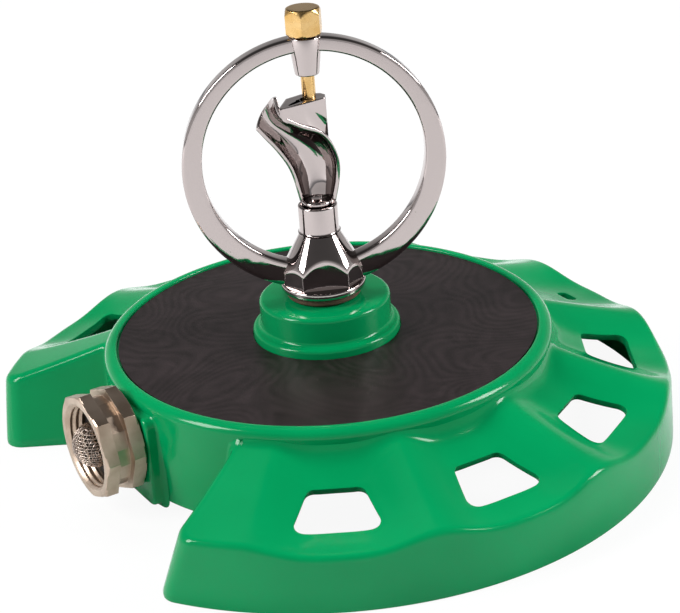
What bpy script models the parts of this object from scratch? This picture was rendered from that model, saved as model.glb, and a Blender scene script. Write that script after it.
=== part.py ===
"""Rotary lawn sprinkler: a cast base with a lobed, windowed skirt, a hose swivel
on its side, and a chromed ring that carries a spinning scoop over the jet.

Units are metres and +Z is up.  Everything is modelled round the spin axis, with
the hose inlet towards -Y, and then hangs on one empty that puts the middle of
the footprint over the world origin.  Azimuths are measured from the inlet,
anticlockwise seen from above.
"""
import math

import bmesh
import bpy
from mathutils import Vector

# Clearances
GAP = 0.0003                    # between parts that touch in the real product
RUNNING = 0.0004                # radial clearance of a turning fit
COLLAR_CLEARANCE = 0.0002       # the scoop's collar in its bush, and the pin under its thread
OVERCUT = 0.0050                # cutters run this far past what they cut
MERGE = 0.00001                 # doubles closer than this are one vertex

# Base casting: skirt
BASE_RADIUS = 0.1143            # 9 inch across at the ground
BAND_DRAFT = 0.0007             # the outer band leans in by this much
WALL = 0.0025                   # cast wall
PETAL = math.radians(30.0)      # twelve lobes to the full circle
NOTCH_HALF_ANGLE = math.radians(30.5)
NOTCH_FLARE = math.radians(4.2)  # the notch is this much wider each way at band height
CREST_NEAR_NOTCH = math.radians(45.0)
WING_CORNER = 0.0065            # plan radius of the two wing tips
SKIRT_CREST_Z = 0.0340          # skirt height at the drum, on a crest
SKIRT_TROUGH_Z = 0.0306         # and in a trough
BAND_CREST_Z = 0.0221           # top of the outer band, on a crest
BAND_TROUGH_Z = 0.0185          # and in a trough
BAND_ROUND = 0.0024             # radius where the skirt turns into the band
SMALLEST_ROUND = 0.0006         # of the same turn inside the wall
FOOT_ROUND = 0.0010
CREST_SAG = 1.15                # above 1 the slope is hollow
TROUGH_SAG = 1.9
CREST_SHARPNESS = 2.0           # above 1 the crests are narrower than the troughs

# Base casting: drum, deck and centre boss
DRUM_RADIUS = 0.0750
DRUM_DRAFT = 0.0008
DRUM_FOOT_Z = 0.0045
DECK_Z = 0.0372
DECK_THICKNESS = 0.0030
RIM_WIDTH = 0.0050
RIM_LIP = 0.0015                # the rim stands this far above the deck
RIM_ROUND = 0.0030
LABEL_THICKNESS = 0.0006
BOSS_RADIUS = 0.0218
BOSS_HEIGHT = 0.0135            # above the deck
BOSS_ROUND = 0.0014
BOSS_BEAD = 0.0028              # the bead at its foot stands out by this much
BOSS_BEAD_HEIGHT = 0.0039
BOSS_FLARE = 0.0016             # hollow where the boss runs into its bead

# Base casting: windows and hanging slot
WINDOW_INNER_MARGIN = 0.0107    # from the drum
WINDOW_OUTER_MARGIN = 0.0121    # from the outer edge
WINDOW_INNER_WIDTH = 0.0166
WINDOW_OUTER_WIDTH = 0.0277
WINDOW_CORNER = 0.0028
WINDOW_PETALS = (2, 3, 4, 5, 7, 8, 9, 10)
SLOT_INSET = 0.0143
SLOT_LENGTH = 0.0080
SLOT_WIDTH = 0.0042

# Waterway inside the casting
INLET_Z = 0.0234
CHANNEL_RADIUS = 0.0110
CHANNEL_BORE = 0.0060
POST_RADIUS = 0.0135
POST_FOOT_Z = 0.0085
RISER_BORE = 0.0085
RIB_THICKNESS = 0.0030
RIB_FOOT_Z = 0.0060
RIB_CRESTS = (2, 4, 7, 9)
PLUG_INSET = 0.0005             # the plug lies this far up the bore
PLUG_EDGE = 0.0005
PLUG_KEY = 0.0060               # across flats
PLUG_KEY_DEPTH = 0.0030
PLUG_MARGIN = 0.0020            # its top stays this far under the feed bore

# Hose swivel, all on the inlet axis
INLET_PAD_HALF_WIDTH = 0.0165
INLET_PAD_RISE = 0.0018         # its face stands this far out of the drum
INLET_PAD_DROP = 0.0012         # the pad hangs this far below the drum
INLET_PAD_CORNER = 0.0030
NUT_LENGTH = 0.0140
NUT_THREAD_RADIUS = 0.0134      # bore of a 3/4 inch garden hose thread
NUT_WAIST_WALL = 0.0010
NUT_GROOVE_DEPTH = 0.0020
NUT_GROOVE_SIDES = 16
NUT_FLANGE = 0.0046
NUT_CHAMFER = 0.0013
NUT_LEAD = 0.0008               # the mouth of the thread is opened out by this much
NUT_LEAD_DEPTH = 0.0010
NUT_BACK_WALL = 0.0026
NUT_BACK_BORE = 0.0102
TAIL_FLANGE_CLEARANCE = 0.0008  # inside the nut's thread
TAIL_FLANGE = 0.0018
TAIL_BORE = 0.0056
TAIL_SPIGOT = 0.0180            # length screwed into the casting
TAIL_SHOULDER = 0.0012
TAIL_END_CLEARANCE = 0.0020
TAIL_GASKET = 0.0012
BORE_CONE = 0.0010              # where the spigot's bore runs down to the channel
O_RING_SECTION = 0.0005
HOSE_WASHER = 0.0026
FILTER_RADIUS = 0.0075          # round dome on a short straight side
FILTER_SIDE = 0.0031
FILTER_SHEET = 0.0004
FILTER_RIM_WALL = 0.0013
FILTER_RIM_HEIGHT = 0.0012

# Hub of the ring frame, on the spin axis
WASHER_RADIUS = 0.0123
WASHER_THICKNESS = 0.0024
WASHER_EDGE = 0.0006
HUB_FLANGE_RADIUS = 0.0140
HUB_FLANGE = 0.0025
HUB_FLANGE_EDGE = 0.0007
HUB_ACROSS_FLATS = 0.0208
HUB_FLAT_WIDTH = 0.0148
HUB_LENGTH = 0.0262
HUB_WAIST = 0.0062
HUB_HEIGHT = 0.0196             # from its foot to the foot of the neck
CONE_SLOPE = 0.55               # radius lost for each unit of height
NECK_RADIUS = 0.0065
NECK_WALL = 0.0008
NECK_HEIGHT = 0.0095
NECK_EDGE = 0.0003
SPIGOT_LENGTH = 0.0150
WATER_BORE = 0.0042
NOZZLE_RADIUS = 0.0050
NOZZLE_LENGTH = 0.0068
NOZZLE_ORIFICE = 0.0021
NOZZLE_EDGE = 0.0004
NOZZLE_SEAL = 0.0012
SEAL_OVERHANG = 0.0006          # nozzle and seal close over the edge of the water bore

# Ring of the frame
RING_TURN = math.radians(65.1)  # which way the ring faces, from the inlet
RING_OUTER = 0.0428
RING_WIDTH = 0.0068
RING_LIFT = 0.0001              # its foot above the foot of the hub
RING_INNER_LIFT = 0.0019        # the band is thinner at the top
RING_THICKNESS = 0.0060
RING_ROUND = 0.0012

# Top boss and speed screw
TOP_BOSS_INSET = 0.0001         # its top below the top of the ring
TOP_BOSS_LENGTH = 0.0126
TOP_BOSS_RADIUS = 0.0054
TOP_BOSS_FOOT_RADIUS = 0.0040
TOP_BOSS_EDGE = 0.0004
TOP_BOSS_FOOT_EDGE = 0.0005
SCREW_RECESS = 0.0010           # sinking in the top boss for the O-ring
SCREW_RADIUS = 0.0024
SCREW_RING_SECTION = 0.00045
PIN_ENTRY = 0.0043              # how far the pin reaches into the scoop's block
PIN_POINT = 0.0010              # taper of the pin's end, in radius
PIN_POINT_LENGTH = 0.0008
HEAD_ACROSS_FLATS = 0.0108
HEAD_STANDOFF = 0.0005
HEAD_HEIGHT = 0.0085
HEAD_CHAMFER = 0.0020           # drop of the rounded top at the corners
HEAD_TURN = math.radians(24.0)

# Spinning scoop
SPINNER_TURN = math.radians(61.0)
SPINNER_CLEARANCE = 0.0080      # from its top to the foot of the top boss
SPINNER_WALL = 0.0013
COLLAR_DEPTH = 0.0057           # how far the collar reaches into the neck
COLLAR_RISE = 0.0014
COLLAR_LIP = 0.0004
COLLAR_LIP_HEIGHT = 0.0022
JET_BORE = 0.0031
PIVOT_DEPTH = 0.0066
PIVOT_SEAT = 0.0009
BLOCK_HEIGHT = 0.0174
BLOCK_HOLLOW = 0.0070           # radius of the hollow behind the scoop's rim
BLOCK_HOLLOW_START = 0.0004     # it starts this far clear of the wall
BLOCK_HOLLOW_LEAN = 0.09        # and leans into it going down
BUSH_WALL = 0.0006
BUSH_FLOOR = 0.0008
BUSH_RISE = 0.0034              # above the foot of the collar
THRUST_WASHER = 0.0005

# Sizes that follow from those above
BAND_TOP_RADIUS = BASE_RADIUS - BAND_DRAFT
DRUM_FOOT_RADIUS = DRUM_RADIUS - DRUM_DRAFT
LABEL_RADIUS = DRUM_RADIUS - RIM_WIDTH
RIM_Z = DECK_Z + RIM_LIP
BOSS_TOP_Z = DECK_Z + BOSS_HEIGHT
BEAD_Z = DECK_Z + BOSS_BEAD_HEIGHT
WINDOW_INNER_RADIUS = DRUM_RADIUS + WINDOW_INNER_MARGIN
WINDOW_OUTER_RADIUS = BASE_RADIUS - WINDOW_OUTER_MARGIN
SLOT_RADIUS = BASE_RADIUS - SLOT_INSET
INLET_PAD_FACE = DRUM_RADIUS + INLET_PAD_RISE
NUT_REAR = INLET_PAD_FACE + 2.0 * GAP
NUT_FRONT = NUT_REAR + NUT_LENGTH
NUT_GROOVE_ACROSS = 2.0 * (NUT_THREAD_RADIUS + NUT_WAIST_WALL)
NUT_ACROSS_FLATS = NUT_GROOVE_ACROSS + 2.0 * NUT_GROOVE_DEPTH
TAIL_FLANGE_RADIUS = NUT_THREAD_RADIUS - TAIL_FLANGE_CLEARANCE
HOSE_WASHER_BORE = FILTER_RADIUS + FILTER_RIM_WALL + 2.0 * GAP
HUB_FOOT_Z = BOSS_TOP_Z + WASHER_THICKNESS + 2.0 * GAP
NECK_FOOT_Z = HUB_FOOT_Z + HUB_HEIGHT
NECK_TOP_Z = NECK_FOOT_Z + NECK_HEIGHT
NECK_BORE = NECK_RADIUS - NECK_WALL
RING_INNER = RING_OUTER - RING_WIDTH
RING_CENTRE_Z = HUB_FOOT_Z + RING_LIFT + RING_OUTER
TOP_BOSS_Z = RING_CENTRE_Z + RING_OUTER - TOP_BOSS_INSET
TOP_BOSS_FOOT_Z = TOP_BOSS_Z - TOP_BOSS_LENGTH
HEAD_FOOT_Z = TOP_BOSS_Z + HEAD_STANDOFF
COLLAR_RADIUS = NECK_BORE - GAP - BUSH_WALL - COLLAR_CLEARANCE
COLLAR_FOOT_Z = NECK_TOP_Z - COLLAR_DEPTH
COLLAR_TOP_Z = NECK_TOP_Z + COLLAR_RISE
SPINNER_TOP_Z = TOP_BOSS_FOOT_Z - SPINNER_CLEARANCE
PIN_RADIUS = SCREW_RADIUS - COLLAR_CLEARANCE
PIN_TIP_Z = SPINNER_TOP_Z - PIN_ENTRY

# Smoothness
STEPS_LARGE = 72
STEPS = 36
STEPS_SMALL = 20
ROWS_PER_PETAL = 6

COLOURS = {
    "green_powder_coat": ((0.0, 0.38, 0.12), 0.25, 0.0),
    "black_satin_print": ((0.035, 0.032, 0.034), 0.45, 0.0),
    "chrome": ((0.80, 0.79, 0.80), 0.06, 1.0),
    "nickel_plate": ((0.62, 0.52, 0.44), 0.22, 1.0),
    "brass": ((0.80, 0.56, 0.24), 0.28, 1.0),
    "stainless": ((0.60, 0.59, 0.58), 0.30, 1.0),
    "fibre": ((0.24, 0.14, 0.10), 0.80, 0.0),
    "rubber": ((0.02, 0.02, 0.02), 0.70, 0.0),
    "white_nylon": ((0.75, 0.74, 0.70), 0.50, 0.0),
}

for old in list(bpy.data.objects):
    bpy.data.objects.remove(old, do_unlink=True)

parts = bpy.data.collections.new("rotary_sprinkler")
tools = bpy.data.collections.new("cutters")
bpy.context.scene.collection.children.link(parts)
bpy.context.scene.collection.children.link(tools)


def make_material(name):
    """A plain Principled material from the table of colours."""
    colour, roughness, metallic = COLOURS[name]
    material = bpy.data.materials.new(name)
    material.use_nodes = True
    shader = material.node_tree.nodes["Principled BSDF"]
    shader.inputs["Base Color"].default_value = (*colour, 1.0)
    shader.inputs["Roughness"].default_value = roughness
    shader.inputs["Metallic"].default_value = metallic
    return material


materials = {name: make_material(name) for name in COLOURS}


# Placing and building

def azimuth(angle, radius, z=0.0):
    """Point at an azimuth from the inlet, at a radius from the spin axis."""
    return Vector((radius * math.sin(angle), -radius * math.cos(angle), z))


def add_part(name, mesh, material, parent, is_tool=False):
    """Link a mesh as a sub-part, or as a cutter where is_tool is set."""
    part = bpy.data.objects.new(name, mesh)
    (tools if is_tool else parts).objects.link(part)
    part.parent = parent
    if is_tool:
        part.hide_render = True
        part.display_type = "WIRE"
    else:
        part.data.materials.append(materials[material])
    return part


def add_empty(name, location, parent=None, turn=0.0):
    """An empty that stands on a joint axis or turns a group of parts."""
    empty = bpy.data.objects.new(name, None)
    empty.location = location
    empty.rotation_euler = (0.0, 0.0, turn)
    empty.parent = parent
    parts.objects.link(empty)
    return empty


def mesh_from(name, vertices, edges=(), faces=()):
    """A mesh from plain lists, with its faces turned outwards."""
    mesh = bpy.data.meshes.new(name)
    mesh.from_pydata([tuple(v) for v in vertices], list(edges), list(faces))
    if faces:
        bm = bmesh.new()
        bm.from_mesh(mesh)
        bmesh.ops.triangulate(bm, faces=bm.faces)
        bmesh.ops.recalc_face_normals(bm, faces=bm.faces)
        bm.to_mesh(mesh)
        bm.free()
    mesh.update()
    return mesh


def turned(name, profile, material=None, parent=None, is_tool=False, steps=STEPS, ring=False):
    """A solid of revolution about Z.

    The profile is (radius, height) and runs down the outer side.  A ring's
    profile comes back up its bore and closes on its first point.
    """
    points = [(r, 0.0, z) for r, z in profile]
    edges = [(i, i + 1) for i in range(len(points) - 1)]
    if ring:
        edges.append((len(points) - 1, 0))
    part = add_part(name, mesh_from(name, points, edges), material, parent, is_tool)
    screw = part.modifiers.new("turn", "SCREW")
    screw.axis = "Z"
    screw.angle = 2.0 * math.pi
    screw.steps = screw.render_steps = steps
    screw.use_merge_vertices = True
    screw.merge_threshold = MERGE
    screw.use_smooth_shade = True
    return part


def quarter(centre_r, centre_z, radius, start, end, steps=4):
    """Profile points on an arc, angles in degrees from the +X side."""
    span = [math.radians(start + (end - start) * i / steps) for i in range(steps + 1)]
    return [(centre_r + radius * math.cos(a), centre_z + radius * math.sin(a)) for a in span]


def o_ring_profile(radius, section, z=0.0, steps=8):
    """Circle of an O-ring's section, running down its outer side."""
    angles = [math.pi / 2 - 2.0 * math.pi * i / steps for i in range(steps)]
    return [(radius + section * math.cos(a), z + section * math.sin(a)) for a in angles]


def rounded_outline(corners, radius, steps=4):
    """Closed outline through the corners, each replaced by an arc."""
    points = []
    count = len(corners)
    for i, corner in enumerate(corners):
        here = Vector(corner)
        to_last = (Vector(corners[i - 1]) - here).normalized()
        to_next = (Vector(corners[(i + 1) % count]) - here).normalized()
        half = to_last.angle(to_next) / 2.0
        centre = here + (to_last + to_next).normalized() * radius / math.sin(half)
        start = here + to_last * radius / math.tan(half) - centre
        end = here + to_next * radius / math.tan(half) - centre
        for k in range(steps + 1):
            spoke = start.lerp(end, k / steps).normalized() * radius
            points.append(centre + spoke)
    return points


def regular_outline(sides, across_flats, turn=0.0):
    """Corners of a regular polygon given by its size across flats."""
    radius = across_flats / 2.0 / math.cos(math.pi / sides)
    angles = [turn + 2.0 * math.pi * i / sides for i in range(sides)]
    return [(radius * math.cos(a), radius * math.sin(a)) for a in angles]


def extruded(name, outline, low, high, material=None, parent=None, is_tool=False):
    """A flat outline in XY, carried from one height to another."""
    curve = bpy.data.curves.new(name, "CURVE")
    curve.dimensions = "2D"
    curve.fill_mode = "BOTH"
    curve.extrude = (high - low) / 2.0
    spline = curve.splines.new("POLY")
    spline.points.add(len(outline) - 1)
    for point, place in zip(spline.points, outline):
        point.co = (place[0], place[1], 0.0, 1.0)
    spline.use_cyclic_u = True
    shape = bpy.data.objects.new(name + "_curve", curve)
    tools.objects.link(shape)
    depsgraph = bpy.context.evaluated_depsgraph_get()
    mesh = bpy.data.meshes.new_from_object(shape.evaluated_get(depsgraph))
    bpy.data.objects.remove(shape, do_unlink=True)
    bm = bmesh.new()
    bm.from_mesh(mesh)
    bmesh.ops.remove_doubles(bm, verts=bm.verts, dist=MERGE)
    bmesh.ops.translate(bm, verts=bm.verts, vec=(0.0, 0.0, (high + low) / 2.0))
    bmesh.ops.recalc_face_normals(bm, faces=bm.faces)
    bm.to_mesh(mesh)
    bm.free()
    mesh.materials.clear()
    mesh.name = name
    return add_part(name, mesh, material, parent, is_tool)


def cylinder(name, radius, depth, parent=None, steps=STEPS):
    """A cylinder about Z, centred on its own origin, for use as a tool."""
    mesh = bpy.data.meshes.new(name)
    bm = bmesh.new()
    bmesh.ops.create_cone(bm, cap_ends=True, segments=steps, radius1=radius, radius2=radius, depth=depth)
    bm.to_mesh(mesh)
    bm.free()
    return add_part(name, mesh, None, parent, is_tool=True)


def combine(part, other, operation):
    """Add a Boolean step to a part."""
    step = part.modifiers.new(operation.lower() + "_" + other.name, "BOOLEAN")
    step.operation = operation
    step.solver = "EXACT"
    step.object = other
    return step


def soften(part, width, segments=2, angle=30.0):
    """Round the sharp edges of a part."""
    step = part.modifiers.new("soften", "BEVEL")
    step.width = width
    step.segments = segments
    step.limit_method = "ANGLE"
    step.angle_limit = math.radians(angle)
    return step


def shade_round(part, angle=35.0):
    """Smooth shading with sharp edges kept."""
    part.data.shade_smooth()
    part.data.set_sharp_from_angle(angle=math.radians(angle))


def lay_on_inlet_axis(part, distance=0.0):
    """Turn a part modelled about Z so that its +Z runs out along the inlet."""
    part.rotation_euler = (math.pi / 2.0, 0.0, 0.0)
    part.location = (0.0, -distance, INLET_Z)


# Skirt of the base casting

def lobe(angle):
    """0 in the middle of a trough, 1 on a crest and on the margins of the notch."""
    away = min(angle, 2.0 * math.pi - angle)
    if away < CREST_NEAR_NOTCH:
        return 1.0
    phase = (away / PETAL) % 1.0
    rise = 2.0 * min(phase, 1.0 - phase)
    return ((1.0 - math.cos(math.pi * rise)) / 2.0) ** CREST_SHARPNESS


def wing_inset(angle, corner):
    """How far the outline is drawn in by the rounded tip of a wing."""
    away = min(angle, 2.0 * math.pi - angle) - NOTCH_HALF_ANGLE
    distance = away * BASE_RADIUS
    if distance >= corner:
        return 0.0
    return corner - math.sqrt(max(0.0, corner ** 2 - (corner - distance) ** 2))


def flare(angle, z):
    """Turn that opens the notch upwards; it dies out by the first crest."""
    side = 1.0 if angle < math.pi else -1.0
    away = min(angle, 2.0 * math.pi - angle) - NOTCH_HALF_ANGLE
    fade = max(0.0, 1.0 - away / (CREST_NEAR_NOTCH - NOTCH_HALF_ANGLE))
    return side * NOTCH_FLARE * fade * max(0.0, z) / BAND_CREST_Z


def skirt_rows():
    """Azimuths of the rows: even steps, and closer ones round the wing tips."""
    step = PETAL / ROWS_PER_PETAL
    tips = [WING_CORNER / BASE_RADIUS * (1.0 - math.cos(math.radians(a))) for a in (0, 25, 45, 65, 90)]
    first = NOTCH_HALF_ANGLE + tips[-1] + step / 3.0
    start = math.ceil(first / step)
    half = [NOTCH_HALF_ANGLE + tip for tip in tips]
    half += [i * step for i in range(start, ROWS_PER_PETAL * 6)]
    return half + [math.pi] + [2.0 * math.pi - a for a in reversed(half)]


def skirt_profile(angle, inset, foot):
    """Section of the skirt at one azimuth, from inside the drum out to the foot.

    inset moves the whole section inwards by a wall, which gives the cavity.
    """
    height = lobe(angle)
    sag = TROUGH_SAG + (CREST_SAG - TROUGH_SAG) * height
    inner_z = SKIRT_TROUGH_Z + (SKIRT_CREST_Z - SKIRT_TROUGH_Z) * height - inset
    band_z = BAND_TROUGH_Z + (BAND_CREST_Z - BAND_TROUGH_Z) * height - inset
    drawn_in = inset + wing_inset(angle, WING_CORNER)
    inner_r = DRUM_RADIUS
    band_r = BAND_TOP_RADIUS - drawn_in
    foot_r = BASE_RADIUS - drawn_in
    round_r = max(BAND_ROUND - inset, SMALLEST_ROUND)
    root = inner_r - 4.0 * WALL - 2.0 * inset
    section = [(root, inner_z)]
    slope_steps = 6
    for i in range(slope_steps):
        s = i / slope_steps * 0.97
        r = inner_r + s * (band_r - round_r - inner_r)
        section.append((r, band_z + (inner_z - band_z) * (1.0 - s) ** sag))
    for a in (80.0, 50.0, 20.0):
        turn = math.radians(a)
        section.append((band_r - round_r * (1.0 - math.cos(turn)), band_z - round_r * (1.0 - math.sin(turn))))
    if inset:
        section.append((foot_r, foot))
    else:
        section += [(foot_r, foot + FOOT_ROUND), (foot_r - FOOT_ROUND, foot)]
    section.append((root, foot))
    return section


def skirt_solid(name, inset, foot):
    """Closed loft of the skirt's sections round to both sides of the notch."""
    vertices = []
    faces = []
    rows = skirt_rows()
    lean = inset / (0.5 * (DRUM_RADIUS + BASE_RADIUS))
    squeeze = (math.pi - NOTCH_HALF_ANGLE - lean) / (math.pi - NOTCH_HALF_ANGLE)
    for angle in rows:
        placed = math.pi + (angle - math.pi) * squeeze
        section = skirt_profile(angle, inset, foot)
        vertices += [azimuth(placed + flare(angle, z), r, z) for r, z in section]
    across = len(section)
    for row in range(len(rows) - 1):
        for i in range(across):
            j = (i + 1) % across
            a = row * across
            b = a + across
            faces.append((a + i, a + j, b + j, b + i))
    last = (len(rows) - 1) * across
    faces.append(tuple(range(across)))
    faces.append(tuple(last + i for i in reversed(range(across))))
    return mesh_from(name, vertices, faces=faces)


def wing_reach():
    """How far the wings come forward of the spin axis."""
    reach = [-azimuth(a + flare(a, z), r).y for a in skirt_rows() for r, z in skirt_profile(a, 0.0, 0.0)]
    return max(reach)


AXIS_Y = (max(wing_reach(), NUT_FRONT) - BASE_RADIUS) / 2.0

spin_axis = add_empty("spin_axis", (0.0, AXIS_Y, 0.0))
ring_turn = add_empty("ring_turn", (0.0, 0.0, 0.0), spin_axis, RING_TURN)
spinner_turn = add_empty("spinner_turn", (0.0, 0.0, 0.0), spin_axis, SPINNER_TURN)


# Base casting

def build_base_casting():
    """One casting: skirt, drum, deck, centre boss, inlet pad and waterway."""
    casting = add_part("base_casting", skirt_solid("base_casting", 0.0, 0.0), "green_powder_coat", spin_axis)

    bead = BOSS_RADIUS + BOSS_BEAD
    neck = quarter(BOSS_RADIUS + BOSS_FLARE, BEAD_Z + BOSS_FLARE, BOSS_FLARE, 180, 262)
    shoulder = quarter(bead - BOSS_ROUND, BEAD_Z - BOSS_ROUND, BOSS_ROUND, 80, 0)
    rim_inner = LABEL_RADIUS + 2.0 * GAP
    drum_profile = [(0.0, BOSS_TOP_Z)]
    drum_profile += quarter(BOSS_RADIUS - BOSS_ROUND, BOSS_TOP_Z - BOSS_ROUND, BOSS_ROUND, 90, 0)
    drum_profile += neck + shoulder
    drum_profile += [(bead, DECK_Z), (rim_inner, DECK_Z), (rim_inner, RIM_Z - GAP)]
    drum_profile += [(rim_inner + GAP, RIM_Z)]
    drum_profile += quarter(DRUM_RADIUS - RIM_ROUND, RIM_Z - RIM_ROUND, RIM_ROUND, 90, 0)
    drum_profile += [(DRUM_FOOT_RADIUS, DRUM_FOOT_Z), (0.0, DRUM_FOOT_Z)]
    drum = turned("drum_blank", drum_profile, parent=spin_axis, is_tool=True, steps=STEPS_LARGE)
    combine(casting, drum, "UNION")

    pad_top = DECK_Z - DECK_THICKNESS
    pad_foot = DRUM_FOOT_Z - INLET_PAD_DROP
    width = INLET_PAD_HALF_WIDTH
    pad_corners = [(-width, pad_foot), (width, pad_foot), (width, pad_top), (-width, pad_top)]
    pad_outline = [(x, z - INLET_Z) for x, z in rounded_outline(pad_corners, INLET_PAD_CORNER)]
    pad = extruded("inlet_pad", pad_outline, DRUM_RADIUS - 2.0 * WALL, INLET_PAD_FACE, parent=spin_axis,
                   is_tool=True)
    lay_on_inlet_axis(pad)
    combine(casting, pad, "UNION")

    cavity = add_part("skirt_cavity", skirt_solid("skirt_cavity", WALL, -OVERCUT), None, spin_axis, is_tool=True)
    combine(casting, cavity, "DIFFERENCE")
    hollow = turned("drum_cavity", [(0.0, pad_top), (DRUM_RADIUS - WALL - RIM_ROUND, pad_top),
                                    (DRUM_RADIUS - WALL, pad_top - RIM_ROUND),
                                    (DRUM_FOOT_RADIUS - WALL, -OVERCUT), (0.0, -OVERCUT)],
                    parent=spin_axis, is_tool=True, steps=STEPS_LARGE)
    combine(casting, hollow, "DIFFERENCE")

    for crest in RIB_CRESTS:
        angle = (crest + 0.5) * PETAL
        inner = POST_RADIUS - 0.4 * (POST_RADIUS - RISER_BORE)
        outer = BAND_TOP_RADIUS - 0.5 * WALL
        outline = [(inner, RIB_FOOT_Z), (outer, RIB_FOOT_Z), (outer, BAND_CREST_Z - 0.8 * WALL),
                   (DRUM_RADIUS, SKIRT_CREST_Z - 0.6 * WALL), (DRUM_RADIUS - 2.0 * WALL, DECK_Z - 0.5 * WALL),
                   (inner, DECK_Z - 0.5 * WALL)]
        rib = extruded("rib_%d" % crest, outline, -RIB_THICKNESS / 2.0, RIB_THICKNESS / 2.0,
                       parent=spin_axis, is_tool=True)
        rib.rotation_euler = (math.pi / 2.0, 0.0, angle - math.pi / 2.0)
        combine(casting, rib, "UNION")

    channel = cylinder("channel", CHANNEL_RADIUS, DRUM_RADIUS - WALL, spin_axis, STEPS_SMALL)
    lay_on_inlet_axis(channel, (DRUM_RADIUS - WALL) / 2.0)
    combine(casting, channel, "UNION")
    post = turned("post", [(0.0, DECK_Z - 0.5 * WALL), (POST_RADIUS, DECK_Z - 0.5 * WALL),
                           (POST_RADIUS, POST_FOOT_Z), (0.0, POST_FOOT_Z)], parent=spin_axis, is_tool=True)
    combine(casting, post, "UNION")

    riser = turned("riser_bore", [(0.0, BOSS_TOP_Z + OVERCUT), (RISER_BORE, BOSS_TOP_Z + OVERCUT),
                                  (RISER_BORE, POST_FOOT_Z - OVERCUT), (0.0, POST_FOOT_Z - OVERCUT)],
                   parent=spin_axis, is_tool=True)
    combine(casting, riser, "DIFFERENCE")
    feed = turned("feed_bore", inlet_bore_profile(), parent=spin_axis, is_tool=True)
    lay_on_inlet_axis(feed)
    combine(casting, feed, "DIFFERENCE")

    half_in = WINDOW_INNER_WIDTH / 2.0
    half_out = WINDOW_OUTER_WIDTH / 2.0
    window = rounded_outline([(-half_in, -WINDOW_INNER_RADIUS), (-half_out, -WINDOW_OUTER_RADIUS),
                              (half_out, -WINDOW_OUTER_RADIUS), (half_in, -WINDOW_INNER_RADIUS)],
                             min(WINDOW_CORNER, 0.45 * (WINDOW_OUTER_RADIUS - WINDOW_INNER_RADIUS)))
    for petal in WINDOW_PETALS:
        cutter = extruded("window_%d" % petal, window, -OVERCUT, DECK_Z, parent=spin_axis, is_tool=True)
        cutter.rotation_euler = (0.0, 0.0, petal * PETAL)
        combine(casting, cutter, "DIFFERENCE")
    half_length = SLOT_LENGTH / 2.0
    half_width = SLOT_WIDTH / 2.0
    slot = rounded_outline([(-half_length, SLOT_RADIUS - half_width), (half_length, SLOT_RADIUS - half_width),
                            (half_length, SLOT_RADIUS + half_width), (-half_length, SLOT_RADIUS + half_width)],
                           0.8 * half_width)
    cutter = extruded("hanging_slot", slot, -OVERCUT, DECK_Z, parent=spin_axis, is_tool=True)
    combine(casting, cutter, "DIFFERENCE")
    return casting


def inlet_bore_profile():
    """Feed bore, with a wider stretch that the tailpiece screws into."""
    seat = INLET_PAD_FACE - TAIL_SPIGOT
    bore = tail_spigot_radius() + GAP
    return [(0.0, INLET_PAD_FACE + OVERCUT), (bore, INLET_PAD_FACE + OVERCUT), (bore, seat),
            (CHANNEL_BORE, seat - BORE_CONE), (CHANNEL_BORE, 0.0), (0.0, 0.0)]


def tail_spigot_radius():
    """The tailpiece's spigot just clears the bore in the back of the nut."""
    return NUT_BACK_BORE - RUNNING - TAIL_SHOULDER


def build_deck_disc():
    """Printed disc let into the recess on top of the drum."""
    inner = BOSS_RADIUS + BOSS_BEAD + GAP
    foot = DECK_Z + GAP
    top = foot + LABEL_THICKNESS
    turned("deck_disc", [(LABEL_RADIUS, top), (LABEL_RADIUS, foot), (inner, foot), (inner, top)],
           "black_satin_print", spin_axis, steps=STEPS_LARGE, ring=True)


# Hose swivel, modelled with +Z out along the inlet and heights measured from the spin axis

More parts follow.
